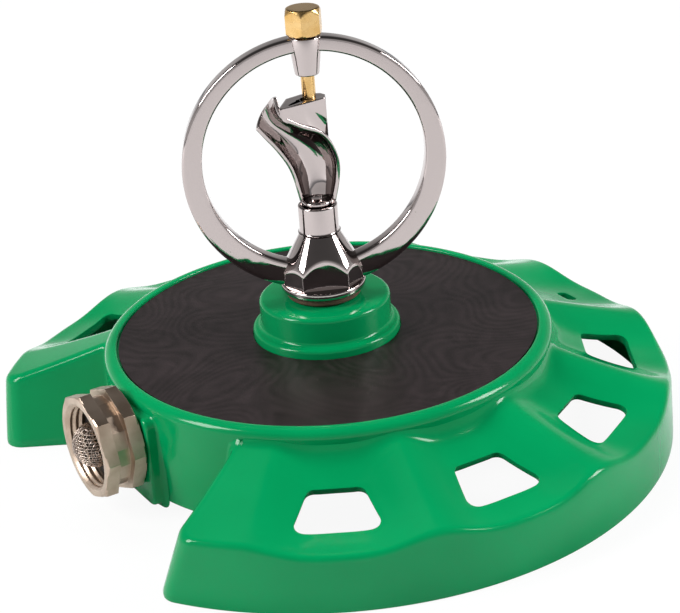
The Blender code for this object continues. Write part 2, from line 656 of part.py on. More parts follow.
def build_swivel():
    """Nut, washer and filter that turn together, and the tailpiece they turn on."""
    tail_outer = tail_spigot_radius()
    shank = NUT_BACK_BORE - RUNNING
    shoulder_rear = INLET_PAD_FACE + GAP
    flange_rear = NUT_REAR + NUT_BACK_WALL + GAP
    flange_front = flange_rear + TAIL_FLANGE
    spigot_end = INLET_PAD_FACE - TAIL_SPIGOT + TAIL_END_CLEARANCE
    shank_foot = shoulder_rear + TAIL_GASKET
    groove_middle = (shank_foot + flange_rear) / 2.0
    groove_foot = groove_middle - O_RING_SECTION - 0.5 * GAP
    groove_top = groove_middle + O_RING_SECTION + 0.5 * GAP
    groove_radius = NUT_BACK_BORE - 2.0 * (GAP + O_RING_SECTION)
    tail = turned("inlet_tailpiece",
                  [(TAIL_FLANGE_RADIUS, flange_front), (TAIL_FLANGE_RADIUS, flange_rear), (shank, flange_rear),
                   (shank, groove_top), (groove_radius, groove_top), (groove_radius, groove_foot),
                   (shank, groove_foot), (shank, shank_foot), (tail_outer, shank_foot),
                   (tail_outer, spigot_end), (TAIL_BORE, spigot_end), (TAIL_BORE, flange_front)],
                  "brass", spin_axis, ring=True)
    lay_on_inlet_axis(tail)
    gasket = turned("tailpiece_gasket",
                    [(shank, shank_foot - GAP), (shank, shoulder_rear),
                     (tail_outer + GAP, shoulder_rear), (tail_outer + GAP, shank_foot - GAP)],
                    "fibre", spin_axis, ring=True)
    lay_on_inlet_axis(gasket)
    seal = turned("swivel_o_ring",
                  o_ring_profile(groove_radius + GAP + O_RING_SECTION, O_RING_SECTION, groove_middle),
                  "rubber", spin_axis, ring=True, steps=STEPS)
    lay_on_inlet_axis(seal)

    nut = build_swivel_nut()
    lay_on_inlet_axis(nut)

    washer_foot = flange_front + GAP
    washer_top = washer_foot + HOSE_WASHER
    washer_outer = NUT_THREAD_RADIUS - GAP
    washer = turned("hose_washer",
                    [(washer_outer, washer_top), (washer_outer, washer_foot),
                     (HOSE_WASHER_BORE, washer_foot), (HOSE_WASHER_BORE, washer_top)],
                    "rubber", spin_axis, ring=True)
    lay_on_inlet_axis(washer)

    rim_outer = HOSE_WASHER_BORE - GAP
    rim_inner = FILTER_RADIUS + GAP
    rim = turned("filter_rim",
                 [(rim_outer, washer_top), (rim_outer, washer_top - FILTER_RIM_HEIGHT),
                  (rim_inner, washer_top - FILTER_RIM_HEIGHT), (rim_inner, washer_top)],
                 "stainless", spin_axis, ring=True)
    lay_on_inlet_axis(rim)

    screen = turned("filter_screen", dome_profile(washer_top - FILTER_RIM_HEIGHT / 2.0), "stainless", spin_axis)
    lay_on_inlet_axis(screen)


def dome_profile(foot):
    """Thin round dome on a straight side: down the outside, then back up the inside."""
    centre = foot + FILTER_SIDE
    outer = quarter(0.0, centre, FILTER_RADIUS, 90, 0, steps=9)
    inner = quarter(0.0, centre, FILTER_RADIUS - FILTER_SHEET, 0, 90, steps=9)
    outer[0] = (0.0, centre + FILTER_RADIUS)
    inner[-1] = (0.0, centre + FILTER_RADIUS - FILTER_SHEET)
    return outer + [(FILTER_RADIUS, foot), (FILTER_RADIUS - FILTER_SHEET, foot)] + inner


def build_swivel_nut():
    """Octagonal nut, chamfered at both ends, with a waist of twice as many flats."""
    turn = math.pi / 8.0
    waist = extruded("swivel_nut", regular_outline(NUT_GROOVE_SIDES, NUT_GROOVE_ACROSS, turn),
                     NUT_REAR + 0.5 * NUT_FLANGE, NUT_FRONT - 0.5 * NUT_FLANGE, "nickel_plate", spin_axis)
    flats = extruded("nut_flats", regular_outline(8, NUT_ACROSS_FLATS, turn),
                     NUT_REAR - OVERCUT, NUT_FRONT + OVERCUT, is_tool=True, parent=waist)
    corner = NUT_ACROSS_FLATS / 2.0 / math.cos(math.pi / 8.0)
    root = NUT_THREAD_RADIUS - NUT_WAIST_WALL
    drop = 0.6 * NUT_CHAMFER
    front = [(0.0, NUT_FRONT), (corner - NUT_CHAMFER, NUT_FRONT), (corner, NUT_FRONT - drop),
             (corner, NUT_FRONT - NUT_FLANGE), (root, NUT_FRONT - NUT_FLANGE), (0.0, NUT_FRONT - NUT_FLANGE)]
    rear = [(0.0, NUT_REAR + NUT_FLANGE), (root, NUT_REAR + NUT_FLANGE), (corner, NUT_REAR + NUT_FLANGE),
            (corner, NUT_REAR + drop), (corner - NUT_CHAMFER, NUT_REAR), (0.0, NUT_REAR)]
    for name, profile in (("front", front), ("rear", rear)):
        flange = turned("nut_flange_" + name, profile, parent=waist, is_tool=True)
        combine(flange, flats, "INTERSECT")
        combine(waist, flange, "UNION")
    bore = turned("nut_bore",
                  [(0.0, NUT_FRONT + OVERCUT), (NUT_THREAD_RADIUS + NUT_LEAD, NUT_FRONT + OVERCUT),
                   (NUT_THREAD_RADIUS + NUT_LEAD, NUT_FRONT), (NUT_THREAD_RADIUS, NUT_FRONT - NUT_LEAD_DEPTH),
                   (NUT_THREAD_RADIUS, NUT_REAR + NUT_BACK_WALL), (NUT_BACK_BORE, NUT_REAR + NUT_BACK_WALL),
                   (NUT_BACK_BORE, NUT_REAR - OVERCUT), (0.0, NUT_REAR - OVERCUT)],
                  parent=waist, is_tool=True)
    combine(waist, bore, "DIFFERENCE")
    return waist


# Ring frame: hub, ring and top boss in one casting

def build_hub_washer():
    """Fibre washer that seals the hub on the centre boss."""
    foot = BOSS_TOP_Z + GAP
    top = foot + WASHER_THICKNESS
    bore = RISER_BORE
    face = WASHER_RADIUS - WASHER_EDGE
    turned("hub_washer", [(face, top), (WASHER_RADIUS, top - WASHER_EDGE), (WASHER_RADIUS, foot + WASHER_EDGE),
                          (face, foot), (bore, foot), (bore, top)], "fibre", spin_axis, ring=True)


def cone_radius(z):
    """Radius of the hub's cone at a height."""
    return NECK_RADIUS + CONE_SLOPE * (NECK_FOOT_Z - z)


def build_ring_frame():
    """Chromed casting: spigot, flange, hub, neck, ring and top boss."""
    foot = HUB_FOOT_Z
    spigot = RISER_BORE - GAP
    flange_top = foot + HUB_FLANGE
    edge = HUB_FLANGE_EDGE
    core = NECK_RADIUS - 0.001
    core_profile = [(0.0, NECK_TOP_Z), (NECK_RADIUS - NECK_EDGE, NECK_TOP_Z), (NECK_RADIUS, NECK_TOP_Z - NECK_EDGE),
                    (NECK_RADIUS, NECK_FOOT_Z - 0.001), (core, NECK_FOOT_Z - 0.002),
                    (core, flange_top), (HUB_FLANGE_RADIUS - edge, flange_top)]
    core_profile += [(HUB_FLANGE_RADIUS, flange_top - edge), (HUB_FLANGE_RADIUS, foot + edge),
                     (HUB_FLANGE_RADIUS - edge, foot), (spigot, foot), (spigot, foot - SPIGOT_LENGTH),
                     (0.0, foot - SPIGOT_LENGTH)]
    frame = turned("ring_frame", core_profile, "chrome", ring_turn)

    body_foot = flange_top - 0.0005
    body = turned("hub_body", [(0.0, NECK_FOOT_Z), (NECK_RADIUS, NECK_FOOT_Z), (cone_radius(body_foot), body_foot),
                               (0.0, body_foot)], parent=ring_turn, is_tool=True)
    flat = HUB_FLAT_WIDTH / 2.0
    depth = HUB_ACROSS_FLATS / 2.0
    waist = HUB_WAIST / 2.0
    side = HUB_LENGTH / 2.0
    outline = [(-flat, -depth), (flat, -depth), (side, -waist), (side, waist),
               (flat, depth), (-flat, depth), (-side, waist), (-side, -waist)]
    prism = extruded("hub_flats", outline, body_foot - OVERCUT, NECK_FOOT_Z + OVERCUT, parent=ring_turn,
                     is_tool=True)
    combine(body, prism, "INTERSECT")
    combine(frame, body, "UNION")

    ring = cylinder("ring_blank", RING_OUTER, RING_THICKNESS, ring_turn, STEPS_LARGE)
    ring.rotation_euler = (math.pi / 2.0, 0.0, 0.0)
    ring.location = (0.0, 0.0, RING_CENTRE_Z)
    eye = cylinder("ring_eye", RING_INNER, 4.0 * RING_THICKNESS, ring_turn, STEPS_LARGE)
    eye.rotation_euler = (math.pi / 2.0, 0.0, 0.0)
    eye.location = (0.0, 0.0, RING_CENTRE_Z + RING_INNER_LIFT)
    combine(ring, eye, "DIFFERENCE")
    soften(ring, RING_ROUND, segments=2)
    combine(frame, ring, "UNION")

    boss = turned("top_boss", [(0.0, TOP_BOSS_Z), (TOP_BOSS_RADIUS - TOP_BOSS_EDGE, TOP_BOSS_Z),
                               (TOP_BOSS_RADIUS, TOP_BOSS_Z - TOP_BOSS_EDGE),
                               (TOP_BOSS_FOOT_RADIUS, TOP_BOSS_FOOT_Z + TOP_BOSS_FOOT_EDGE),
                               (TOP_BOSS_FOOT_RADIUS - TOP_BOSS_FOOT_EDGE, TOP_BOSS_FOOT_Z),
                               (0.0, TOP_BOSS_FOOT_Z)],
                  parent=ring_turn, is_tool=True, steps=STEPS_SMALL)
    combine(frame, boss, "UNION")
    ring_outer = SCREW_RADIUS + 2.0 * GAP + 2.0 * SCREW_RING_SECTION
    recess = cylinder("ring_recess", ring_outer, 2.0 * SCREW_RECESS, ring_turn, STEPS_SMALL)
    recess.location = (0.0, 0.0, TOP_BOSS_Z)
    combine(frame, recess, "DIFFERENCE")
    thread = cylinder("screw_hole", SCREW_RADIUS + GAP, 4.0 * TOP_BOSS_LENGTH, ring_turn, STEPS_SMALL)
    thread.location = (0.0, 0.0, TOP_BOSS_Z)
    combine(frame, thread, "DIFFERENCE")
    combine(frame, turned("hub_bore", hub_bore_profile(), parent=ring_turn, is_tool=True), "DIFFERENCE")
    return frame


def bush_foot_z():
    """Shoulder in the neck that the bush rests on."""
    return COLLAR_FOOT_Z - THRUST_WASHER - BUSH_FLOOR - 3.0 * GAP


def nozzle_foot_z():
    """Seat of the nozzle and its seal, below the bush."""
    return bush_foot_z() - NOZZLE_LENGTH - NOZZLE_SEAL - 2.0 * GAP


def hub_bore_profile():
    """Bore of the hub: neck, nozzle pocket and waterway."""
    shoulder = bush_foot_z()
    pocket = nozzle_foot_z()
    end = HUB_FOOT_Z - SPIGOT_LENGTH - OVERCUT
    return [(0.0, NECK_TOP_Z + OVERCUT), (NECK_BORE, NECK_TOP_Z + OVERCUT), (NECK_BORE, shoulder),
            (NOZZLE_RADIUS + GAP, shoulder), (NOZZLE_RADIUS + GAP, pocket), (WATER_BORE, pocket),
            (WATER_BORE, end), (0.0, end)]


def build_nozzle():
    """Brass jet pressed up against the bush, on a flat seal."""
    seal_foot = nozzle_foot_z() + GAP
    seal_top = seal_foot + NOZZLE_SEAL
    foot = seal_top + GAP
    top = foot + NOZZLE_LENGTH
    inlet = WATER_BORE - SEAL_OVERHANG
    outer = NOZZLE_RADIUS
    turned("nozzle_seal", [(outer, seal_top), (outer, seal_foot), (inlet, seal_foot), (inlet, seal_top)],
           "rubber", spin_axis, ring=True, steps=STEPS_SMALL)
    turned("jet_nozzle", [(outer - NOZZLE_EDGE, top), (outer, top - NOZZLE_EDGE), (outer, foot),
                          (inlet, foot), (NOZZLE_ORIFICE, foot + 0.7 * NOZZLE_LENGTH),
                          (NOZZLE_ORIFICE, top)], "brass", spin_axis, ring=True, steps=STEPS_SMALL)


def build_bush():
    """Nylon bush in the neck, and the thrust washer that the scoop turns on."""
    outer = NECK_BORE - GAP
    inner = outer - BUSH_WALL
    bore = JET_BORE + COLLAR_LIP
    foot = bush_foot_z() + GAP
    floor = foot + BUSH_FLOOR
    top = COLLAR_FOOT_Z + BUSH_RISE
    turned("lower_bush", [(outer, top), (outer, foot), (bore, foot), (bore, floor), (inner, floor), (inner, top)],
           "white_nylon", spin_axis, ring=True)
    washer_outer = COLLAR_RADIUS - COLLAR_CLEARANCE
    washer_foot = floor + GAP
    washer_top = washer_foot + THRUST_WASHER
    turned("thrust_washer", [(washer_outer, washer_top), (washer_outer, washer_foot), (bore, washer_foot),
                             (bore, washer_top)], "stainless", spin_axis, ring=True, steps=STEPS_SMALL)


def build_channel_plug():
    """Screwed plug that closes the foot of the riser bore."""
    outer = RISER_BORE - GAP
    foot = POST_FOOT_Z + PLUG_INSET
    top = INLET_Z - CHANNEL_BORE - PLUG_MARGIN
    face = outer - PLUG_EDGE
    plug = turned("channel_plug", [(0.0, top), (face, top), (outer, top - PLUG_EDGE), (outer, foot + PLUG_EDGE),
                                   (face, foot), (0.0, foot)], "brass", spin_axis)
    key = extruded("plug_key", regular_outline(6, PLUG_KEY), foot - OVERCUT, foot + PLUG_KEY_DEPTH,
                   parent=spin_axis, is_tool=True)
    combine(plug, key, "DIFFERENCE")


# Spinning scoop, modelled facing -Y

# Rim points are (right, forward, up) in millimetres, seen from the open side, up from the top of the neck.
LOWER_RIM = ((-4.3, 0.5, 1.4), (-5.0, 0.8, 5.2), (-6.0, 1.2, 10.0), (-7.6, 1.8, 14.8), (-10.8, 2.6, 20.5),
             (-13.9, 3.2, 24.8), (-16.7, 3.6, 28.6))
UPPER_RIM = ((4.9, 0.5, 0.8), (6.6, 0.9, 8.4), (6.7, 2.0, 15.7), (3.1, 4.4, 24.1), (-4.3, 7.4, 28.7),
             (-9.7, 8.6, 32.9), (-11.5, 6.8, 38.7))
RIM_POINTS_HEIGHT = 35.9        # the height that they are drawn for; they stretch to the scoop's own
SCOOP_DEPTHS = (4.6, 6.0, 7.0, 7.8, 8.2, 7.6, 6.0)
BLOCK_FRONT = ((5.2, -1.0), (-9.6, -9.6))      # plan of the top block, right and back
BLOCK_BACK = ((-9.9, -8.2), (-7.6, 1.0), (-2.6, 4.6), (3.8, 4.4), (5.2, 2.8))
BLOCK_UNDERSIDE = ((20.0, -148.7), (20.0, -27.4), (-30.0, 9.6), (-30.0, -148.7))   # what is cut away, from the top
SCOOP_ROWS = 22
SCOOP_COLUMNS = 14


def along(points, t):
    """Smooth curve through evenly spaced points, t from 0 to 1."""
    points = [Vector(p) if len(p) > 1 else p for p in points]
    spans = len(points) - 1
    place = min(max(t, 0.0), 1.0) * spans
    i = min(int(place), spans - 1)
    f = place - i
    p1, p2 = points[i], points[i + 1]
    p0 = points[i - 1] if i > 0 else p1 * 2.0 - p2
    p3 = points[i + 2] if i + 2 <= spans else p2 * 2.0 - p1
    return 0.5 * (2.0 * p1 + (p2 - p0) * f + (2.0 * p0 - 5.0 * p1 + 4.0 * p2 - p3) * f * f
                  + (3.0 * p1 - 3.0 * p2 + p3 - p0) * f * f * f)


def rim_points(rim):
    """The points of a rim in millimetres from the ground, stretched to the scoop's height."""
    stretch = 1000.0 * (SPINNER_TOP_Z - NECK_TOP_Z) / RIM_POINTS_HEIGHT
    return [(x, y, 1000.0 * NECK_TOP_Z + up * stretch) for x, y, up in rim]


def scoop_section(t, outset=0.0):
    """Half-oval from the lower rim round the back of the scoop to the upper rim.

    outset moves the section outwards, into the wall.
    """
    low = along(rim_points(LOWER_RIM), t)
    high = along(rim_points(UPPER_RIM), t)
    depth = along([(d, 0.0) for d in SCOOP_DEPTHS], t)[0] + outset
    middle = (low + high) / 2.0
    reach = (high - low) / 2.0
    reach = reach.normalized() * (reach.length + outset)
    section = []
    for i in range(SCOOP_COLUMNS + 1):
        turn = math.pi * i / SCOOP_COLUMNS
        place = middle - reach * math.cos(turn) - Vector((0.0, depth * math.sin(turn), 0.0))
        section.append(Vector((place.x, -place.y, place.z)) / 1000.0)
    return section


def scoop_surface():
    """Open surface of the scoop between its two rims."""
    vertices = []
    for row in range(SCOOP_ROWS + 1):
        vertices += scoop_section(row / SCOOP_ROWS)
    across = SCOOP_COLUMNS + 1
    faces = []
    for row in range(SCOOP_ROWS):
        for i in range(SCOOP_COLUMNS):
            a = row * across + i
            faces.append((a, a + 1, a + across + 1, a + across))
    mesh = bpy.data.meshes.new("spinner")
    mesh.from_pydata([tuple(v) for v in vertices], [], faces)
    mesh.update()
    return mesh


def scoop_space():
    """The channel as a solid, out to the middle of the scoop's wall and far forward of it."""
    forward = Vector((0.0, -0.02, 0.0))
    vertices = []
    for row in range(SCOOP_ROWS + 1):
        section = scoop_section(row / SCOOP_ROWS, 500.0 * SPINNER_WALL)
        vertices += [section[0] + forward] + section + [section[-1] + forward]
    across = SCOOP_COLUMNS + 3
    faces = []
    for row in range(SCOOP_ROWS):
        for i in range(across):
            a = row * across
            j = (i + 1) % across
            faces.append((a + i, a + j, a + across + j, a + across + i))
    last = SCOOP_ROWS * across
    faces.append(tuple(range(across)))
    faces.append(tuple(last + i for i in reversed(range(across))))
    return mesh_from("scoop_space", vertices, faces=faces)


def hollow_block(block):
    """Round hollow down the front wall of the top block, just behind the scoop's rim."""
    right, left = (Vector((x, y, 0.0)) / 1000.0 for x, y in BLOCK_FRONT)
    along_wall = (left - right).normalized()
    outward = Vector((-along_wall.y, along_wall.x, 0.0))
    heading = along_wall * -0.62 + Vector((0.0, 0.0, -0.79)) - outward * BLOCK_HOLLOW_LEAN
    middle = right + along_wall * 0.0102 + Vector((0.0, 0.0, SPINNER_TOP_Z + 0.0015))
    middle += outward * (BLOCK_HOLLOW + BLOCK_HOLLOW_START)
    hollow = cylinder("block_hollow", BLOCK_HOLLOW, 0.06, spinner_turn)
    hollow.location = middle
    hollow.rotation_euler = heading.to_track_quat("Z", "Y").to_euler()
    combine(block, hollow, "DIFFERENCE")


def build_spinner():
    """Scoop, collar and top block in one chromed casting, with a seat for the pin."""
    spinner = add_part("spinner", scoop_surface(), "chrome", spinner_turn)
    shell = spinner.modifiers.new("wall", "SOLIDIFY")
    shell.thickness = SPINNER_WALL
    shell.offset = -1.0
    shell.use_even_offset = True

    collar = turned("collar", [(0.0, COLLAR_TOP_Z), (COLLAR_RADIUS + 0.5 * COLLAR_LIP, COLLAR_TOP_Z),
                               (COLLAR_RADIUS + COLLAR_LIP, COLLAR_TOP_Z - COLLAR_LIP),
                               (COLLAR_RADIUS, COLLAR_TOP_Z - COLLAR_LIP_HEIGHT), (COLLAR_RADIUS, COLLAR_FOOT_Z),
                               (0.0, COLLAR_FOOT_Z)], parent=spinner_turn, is_tool=True, steps=STEPS_SMALL)
    combine(spinner, collar, "UNION")

    outline = [(x / 1000.0, y / 1000.0) for x, y in BLOCK_FRONT + BLOCK_BACK]
    block = extruded("top_block", outline, SPINNER_TOP_Z - BLOCK_HEIGHT, SPINNER_TOP_Z, parent=spinner_turn,
                     is_tool=True)
    below = [(x / 1000.0, SPINNER_TOP_Z + z / 1000.0) for x, z in BLOCK_UNDERSIDE]
    slope = extruded("block_slope", below, -0.02, 0.02, parent=spinner_turn, is_tool=True)
    slope.rotation_euler = (math.pi / 2.0, 0.0, 0.0)
    combine(block, slope, "DIFFERENCE")
    hollow_block(block)
    combine(block, add_part("scoop_space", scoop_space(), None, spinner_turn, is_tool=True), "DIFFERENCE")
    combine(spinner, block, "UNION")
    hole_foot = SPINNER_TOP_Z - PIVOT_DEPTH
    hole_top = SPINNER_TOP_Z + OVERCUT
    bore = PIN_RADIUS + GAP
    hole = turned("pivot_hole", [(0.0, hole_top), (bore, hole_top), (bore, hole_foot), (0.0, hole_foot)],
                  parent=spinner_turn, is_tool=True, steps=STEPS_SMALL)
    combine(spinner, hole, "DIFFERENCE")
    jet = turned("jet_bore", [(0.0, COLLAR_TOP_Z + 0.002), (JET_BORE + COLLAR_LIP, COLLAR_TOP_Z + 0.002),
                              (JET_BORE, COLLAR_TOP_Z - 0.0006), (JET_BORE, COLLAR_FOOT_Z - OVERCUT),
                              (0.0, COLLAR_FOOT_Z - OVERCUT)],
                 parent=spinner_turn, is_tool=True, steps=STEPS_SMALL)
    combine(spinner, jet, "DIFFERENCE")

    seat_foot = hole_foot + GAP
    seat_top = seat_foot + PIVOT_SEAT
    seat_radius = PIN_RADIUS - 0.5 * COLLAR_CLEARANCE
    turned("pivot_seat", [(0.0, seat_top), (seat_radius, seat_top), (seat_radius, seat_foot), (0.0, seat_foot)],
           "stainless", spinner_turn, steps=STEPS_SMALL)


# Speed screw

def build_screw():
    """Brass screw with a hexagonal head; its plain end is the scoop's upper pivot."""
    top = HEAD_FOOT_Z + HEAD_HEIGHT
    corner = HEAD_ACROSS_FLATS / math.sqrt(3.0)
    flat = HEAD_ACROSS_FLATS / 2.0
    shank = turned("adjusting_screw",
                   [(0.0, HEAD_FOOT_Z + 0.001), (SCREW_RADIUS, HEAD_FOOT_Z + 0.001),
                    (SCREW_RADIUS, TOP_BOSS_FOOT_Z + 0.001), (PIN_RADIUS, TOP_BOSS_FOOT_Z),
                    (PIN_RADIUS, PIN_TIP_Z + PIN_POINT_LENGTH), (PIN_RADIUS - PIN_POINT, PIN_TIP_Z),
                    (0.0, PIN_TIP_Z)], "brass", spin_axis, steps=STEPS_SMALL)
    head = turned("screw_head",
                  [(0.0, top), (0.8 * flat, top), (flat, top - 0.3 * HEAD_CHAMFER), (corner, top - HEAD_CHAMFER),
                   (corner, HEAD_FOOT_Z + 0.4 * HEAD_CHAMFER), (flat, HEAD_FOOT_Z), (0.0, HEAD_FOOT_Z)],
                  parent=spin_axis, is_tool=True)
    flats = extruded("screw_flats", regular_outline(6, HEAD_ACROSS_FLATS), HEAD_FOOT_Z - OVERCUT, top + OVERCUT,
                     parent=spin_axis, is_tool=True)
    flats.rotation_euler = (0.0, 0.0, HEAD_TURN)
    combine(head, flats, "INTERSECT")
    combine(shank, head, "UNION")
    ring_radius = SCREW_RADIUS + GAP + SCREW_RING_SECTION
    turned("screw_o_ring", o_ring_profile(ring_radius, SCREW_RING_SECTION, HEAD_FOOT_Z - GAP - SCREW_RING_SECTION),
           "rubber", spin_axis, ring=True, steps=STEPS_SMALL)


build_base_casting()
build_deck_disc()
build_swivel()
build_channel_plug()
build_hub_washer()
build_ring_frame()
build_nozzle()
build_bush()
build_spinner()
build_screw()

for finished in parts.objects:
    if finished.type == "MESH":
        shade_round(finished)
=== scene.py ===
"""Looks of a rotary lawn sprinkler: cast and powder-coated base, printed disc,
nickel-plated hose swivel, chromed ring frame and spinning scoop, brass screw.

Shapes are worked out in millimetres round the spin axis, with the hose inlet
towards -Y, and moved onto the frame when the mesh is made.
"""
import math

import bmesh
import bpy
import numpy as np
from mathutils import Matrix, Vector


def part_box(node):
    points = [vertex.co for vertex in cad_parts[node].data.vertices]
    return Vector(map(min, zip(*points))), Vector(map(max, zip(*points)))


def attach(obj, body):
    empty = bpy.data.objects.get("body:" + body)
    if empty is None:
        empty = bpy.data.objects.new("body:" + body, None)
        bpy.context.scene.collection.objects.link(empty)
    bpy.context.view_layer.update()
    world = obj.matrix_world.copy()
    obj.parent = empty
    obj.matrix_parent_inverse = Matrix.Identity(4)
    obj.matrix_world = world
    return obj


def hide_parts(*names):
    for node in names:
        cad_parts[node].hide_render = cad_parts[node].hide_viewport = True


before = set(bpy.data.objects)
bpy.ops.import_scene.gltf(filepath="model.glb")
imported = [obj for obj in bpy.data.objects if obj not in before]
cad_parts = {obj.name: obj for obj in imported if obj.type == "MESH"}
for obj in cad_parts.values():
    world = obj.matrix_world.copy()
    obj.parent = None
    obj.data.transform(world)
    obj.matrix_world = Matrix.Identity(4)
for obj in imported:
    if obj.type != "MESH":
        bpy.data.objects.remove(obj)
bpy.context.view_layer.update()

# Casting: skirt
# One zinc die casting makes the whole base.  The skirt is its lobed slope with
# eight windows and a slot to hang it by, and the two wing ends beside the inlet.
# Its walls are 2.5 mm thick, and every edge is rounded by the mould and the coat.

BASE_RADIUS = 114.3
BAND_TOP_RADIUS = 113.6
BAND_CREST = 22.1
DRUM_RADIUS = 75.0
DRUM_FOOT_RADIUS = 74.2
DRUM_FOOT = 4.5
RIM_TOP = 38.7
RIM_ROUND = 3.0
CAST_WALL = 2.5
NOTCH = math.radians(30.5)
NOTCH_LEAN = math.radians(4.2)
FLAT_TO = math.radians(45.0)
PETAL = math.radians(30.0)
SLOT_PETAL = 6
HEIGHT_AT_DRUM = 30.6
CREST_AT_DRUM = 3.4
HEIGHT_AT_BAND = 18.5
CREST_AT_BAND = 3.6
EDGE_ROLL = 2.4
UPRIGHT_FOOT = 1.2

# Shares of a wing's outline at which its fillet, end wall, corner and last flat stretch end.
FILLET_END = 0.06
WALL_END = 0.16
CORNER_END = 0.22
FLAT_END = 0.25

axis_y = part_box("base_casting")[1].y * 1000.0 - BASE_RADIUS


def linear(hex_colour):
    """sRGB hex value as the linear colour that shaders work in."""
    parts = [int(hex_colour[i:i + 2], 16) / 255.0 for i in (1, 3, 5)]
    return tuple(c / 12.92 if c <= 0.04045 else ((c + 0.055) / 1.055) ** 2.4 for c in parts) + (1.0,)


def fill(made, inputs):
    """Give a node its inputs: each a value, another node's output, or a node, whose first output is meant."""
    for key, value in inputs.items():
        if isinstance(value, bpy.types.Node):
            value = value.outputs[0]
        if isinstance(value, bpy.types.NodeSocket):
            made.id_data.links.new(value, made.inputs[key])
        else:
            made.inputs[key].default_value = value


def node(material, kind, inputs=None, stops=None, **settings):
    """Add one shader node with its inputs, the stops of its colour ramp if it has one, and its settings."""
    made = material.node_tree.nodes.new("ShaderNode" + kind)
    for key, value in settings.items():
        setattr(made, key, value)
    fill(made, inputs or {})
    if stops:
        ramp = made.color_ramp.elements
        ramp.remove(ramp[1])
        ramp[0].position, ramp[0].color = stops[0]
        for position, colour in stops[1:]:
            ramp.new(position).color = colour
    return made


def new_material(name, slot):
    """Empty material for a slot of the record; gives it, its Principled shader and its Object coordinates."""
    material = bpy.data.materials.new(name)
    material["slot"] = slot
    material.use_nodes = True
    material.node_tree.nodes.clear()
    shader = node(material, "BsdfPrincipled")
    node(material, "OutputMaterial", {"Surface": shader})
    return material, shader, node(material, "TexCoord").outputs["Object"]


def powder_coat():
    """Gloss green polyester powder coat, sprayed and stoved on a zinc casting.

    It flows out nearly flat, with a faint orange peel of about 3 mm, a trace of
    mottling in the colour, and a clear gloss that picks up thin bright lines on
    every rounded edge.
    """
    material, shader, place = new_material("gloss_green_powder_coat", "green_powder_coat")
    cloud = node(material, "TexNoise", {"Vector": place, "Scale": 28.0})
    peel = node(material, "TexNoise", {"Vector": place, "Scale": 330.0, "Roughness": 0.45})
    tint = node(material, "ValToRGB", {"Fac": cloud}, [(0.30, linear("#007D47")), (0.70, linear("#00864D"))])
    bump = node(material, "Bump", {"Height": peel, "Strength": 0.05, "Distance": 0.0004})
    gloss = node(material, "MapRange", {"Value": cloud, "To Min": 0.10, "To Max": 0.16})
    fill(shader, {"Base Color": tint, "Roughness": gloss, "Normal": bump, "Specular IOR Level": 0.2})
    return material


coat = powder_coat()


def quads(columns, rows, closed=False):
    """Corners of a grid's quads: point number is column * rows + row."""
    first = np.arange(columns if closed else columns - 1)[:, None]
    row = np.arange(rows - 1)[None, :]
    after = (first + 1) % columns
    a, b = first * rows + row, after * rows + row
    return np.stack([a, b, b + 1, a + 1], axis=-1).reshape(-1, 4)


def make_piece(name, skin, material, body, stands_for, turn=0.0, flip=False, sharp=40.0):
    """Put a skin, points in millimetres round the spin axis and faces, into a mesh that rides on a body.

    turn swings it about the spin axis.  Faces that the grid gave inside out are
    turned with flip.  Edges sharper than so many degrees stay crisp.
    """
    points, faces = skin
    points = points.reshape(-1, 3)
    c, s = math.cos(turn), math.sin(turn)
    placed = np.column_stack([c * points[:, 0] - s * points[:, 1],
                              s * points[:, 0] + c * points[:, 1] + axis_y, points[:, 2]]) / 1000.0
    corners = np.asarray(faces)
    if flip:
        corners = corners[:, ::-1]
    mesh = bpy.data.meshes.new(name)
    mesh.from_pydata(placed.tolist(), [], corners.tolist())
    bm = bmesh.new()
    bm.from_mesh(mesh)
    bmesh.ops.remove_doubles(bm, verts=bm.verts, dist=0.000002)
    bmesh.ops.dissolve_degenerate(bm, edges=bm.edges, dist=0.000001)
    bm.to_mesh(mesh)
    bm.free()
    mesh.shade_smooth()
    if sharp:
        mesh.set_sharp_from_angle(angle=math.radians(sharp))
    mesh.materials.append(material)
    made = bpy.data.objects.new(name, mesh)
    bpy.context.scene.collection.objects.link(made)
    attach(made, body)
    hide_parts(*stands_for)
    return made


def thicken(piece, wall, edge, even):
    """Give an open skin its wall, inwards, and round the edges that this leaves; sizes in millimetres."""
    shell = piece.modifiers.new("wall", "SOLIDIFY")
    shell.thickness = wall / 1000.0
    shell.offset = -1.0
    shell.use_even_offset = even
    edges = piece.modifiers.new("edges", "BEVEL")
    edges.width = edge / 1000.0
    edges.segments = 3
    edges.limit_method = "ANGLE"
    edges.angle_limit = math.radians(50.0)


def radial(angle):
    """Unit vector out from the spin axis; azimuths count from the inlet."""
    return np.stack([np.sin(angle), -np.cos(angle)], axis=-1)


def tangential(angle):
    """Unit vector of growing azimuth."""
    return np.stack([np.cos(angle), np.sin(angle)], axis=-1)


def lobe(angle):
    """1 in the middle of a petal and beside the notch, 0 in a trough: half of 1 minus a cosine, squared."""
    away = np.minimum(angle % (2 * np.pi), (-angle) % (2 * np.pi))
    phase = (away / PETAL) % 1.0
    rise = 2.0 * np.minimum(phase, 1.0 - phase)
    wave = ((1.0 - np.cos(np.pi * rise)) / 2.0) ** 2.0
    return np.where(away < FLAT_TO, 1.0, wave)


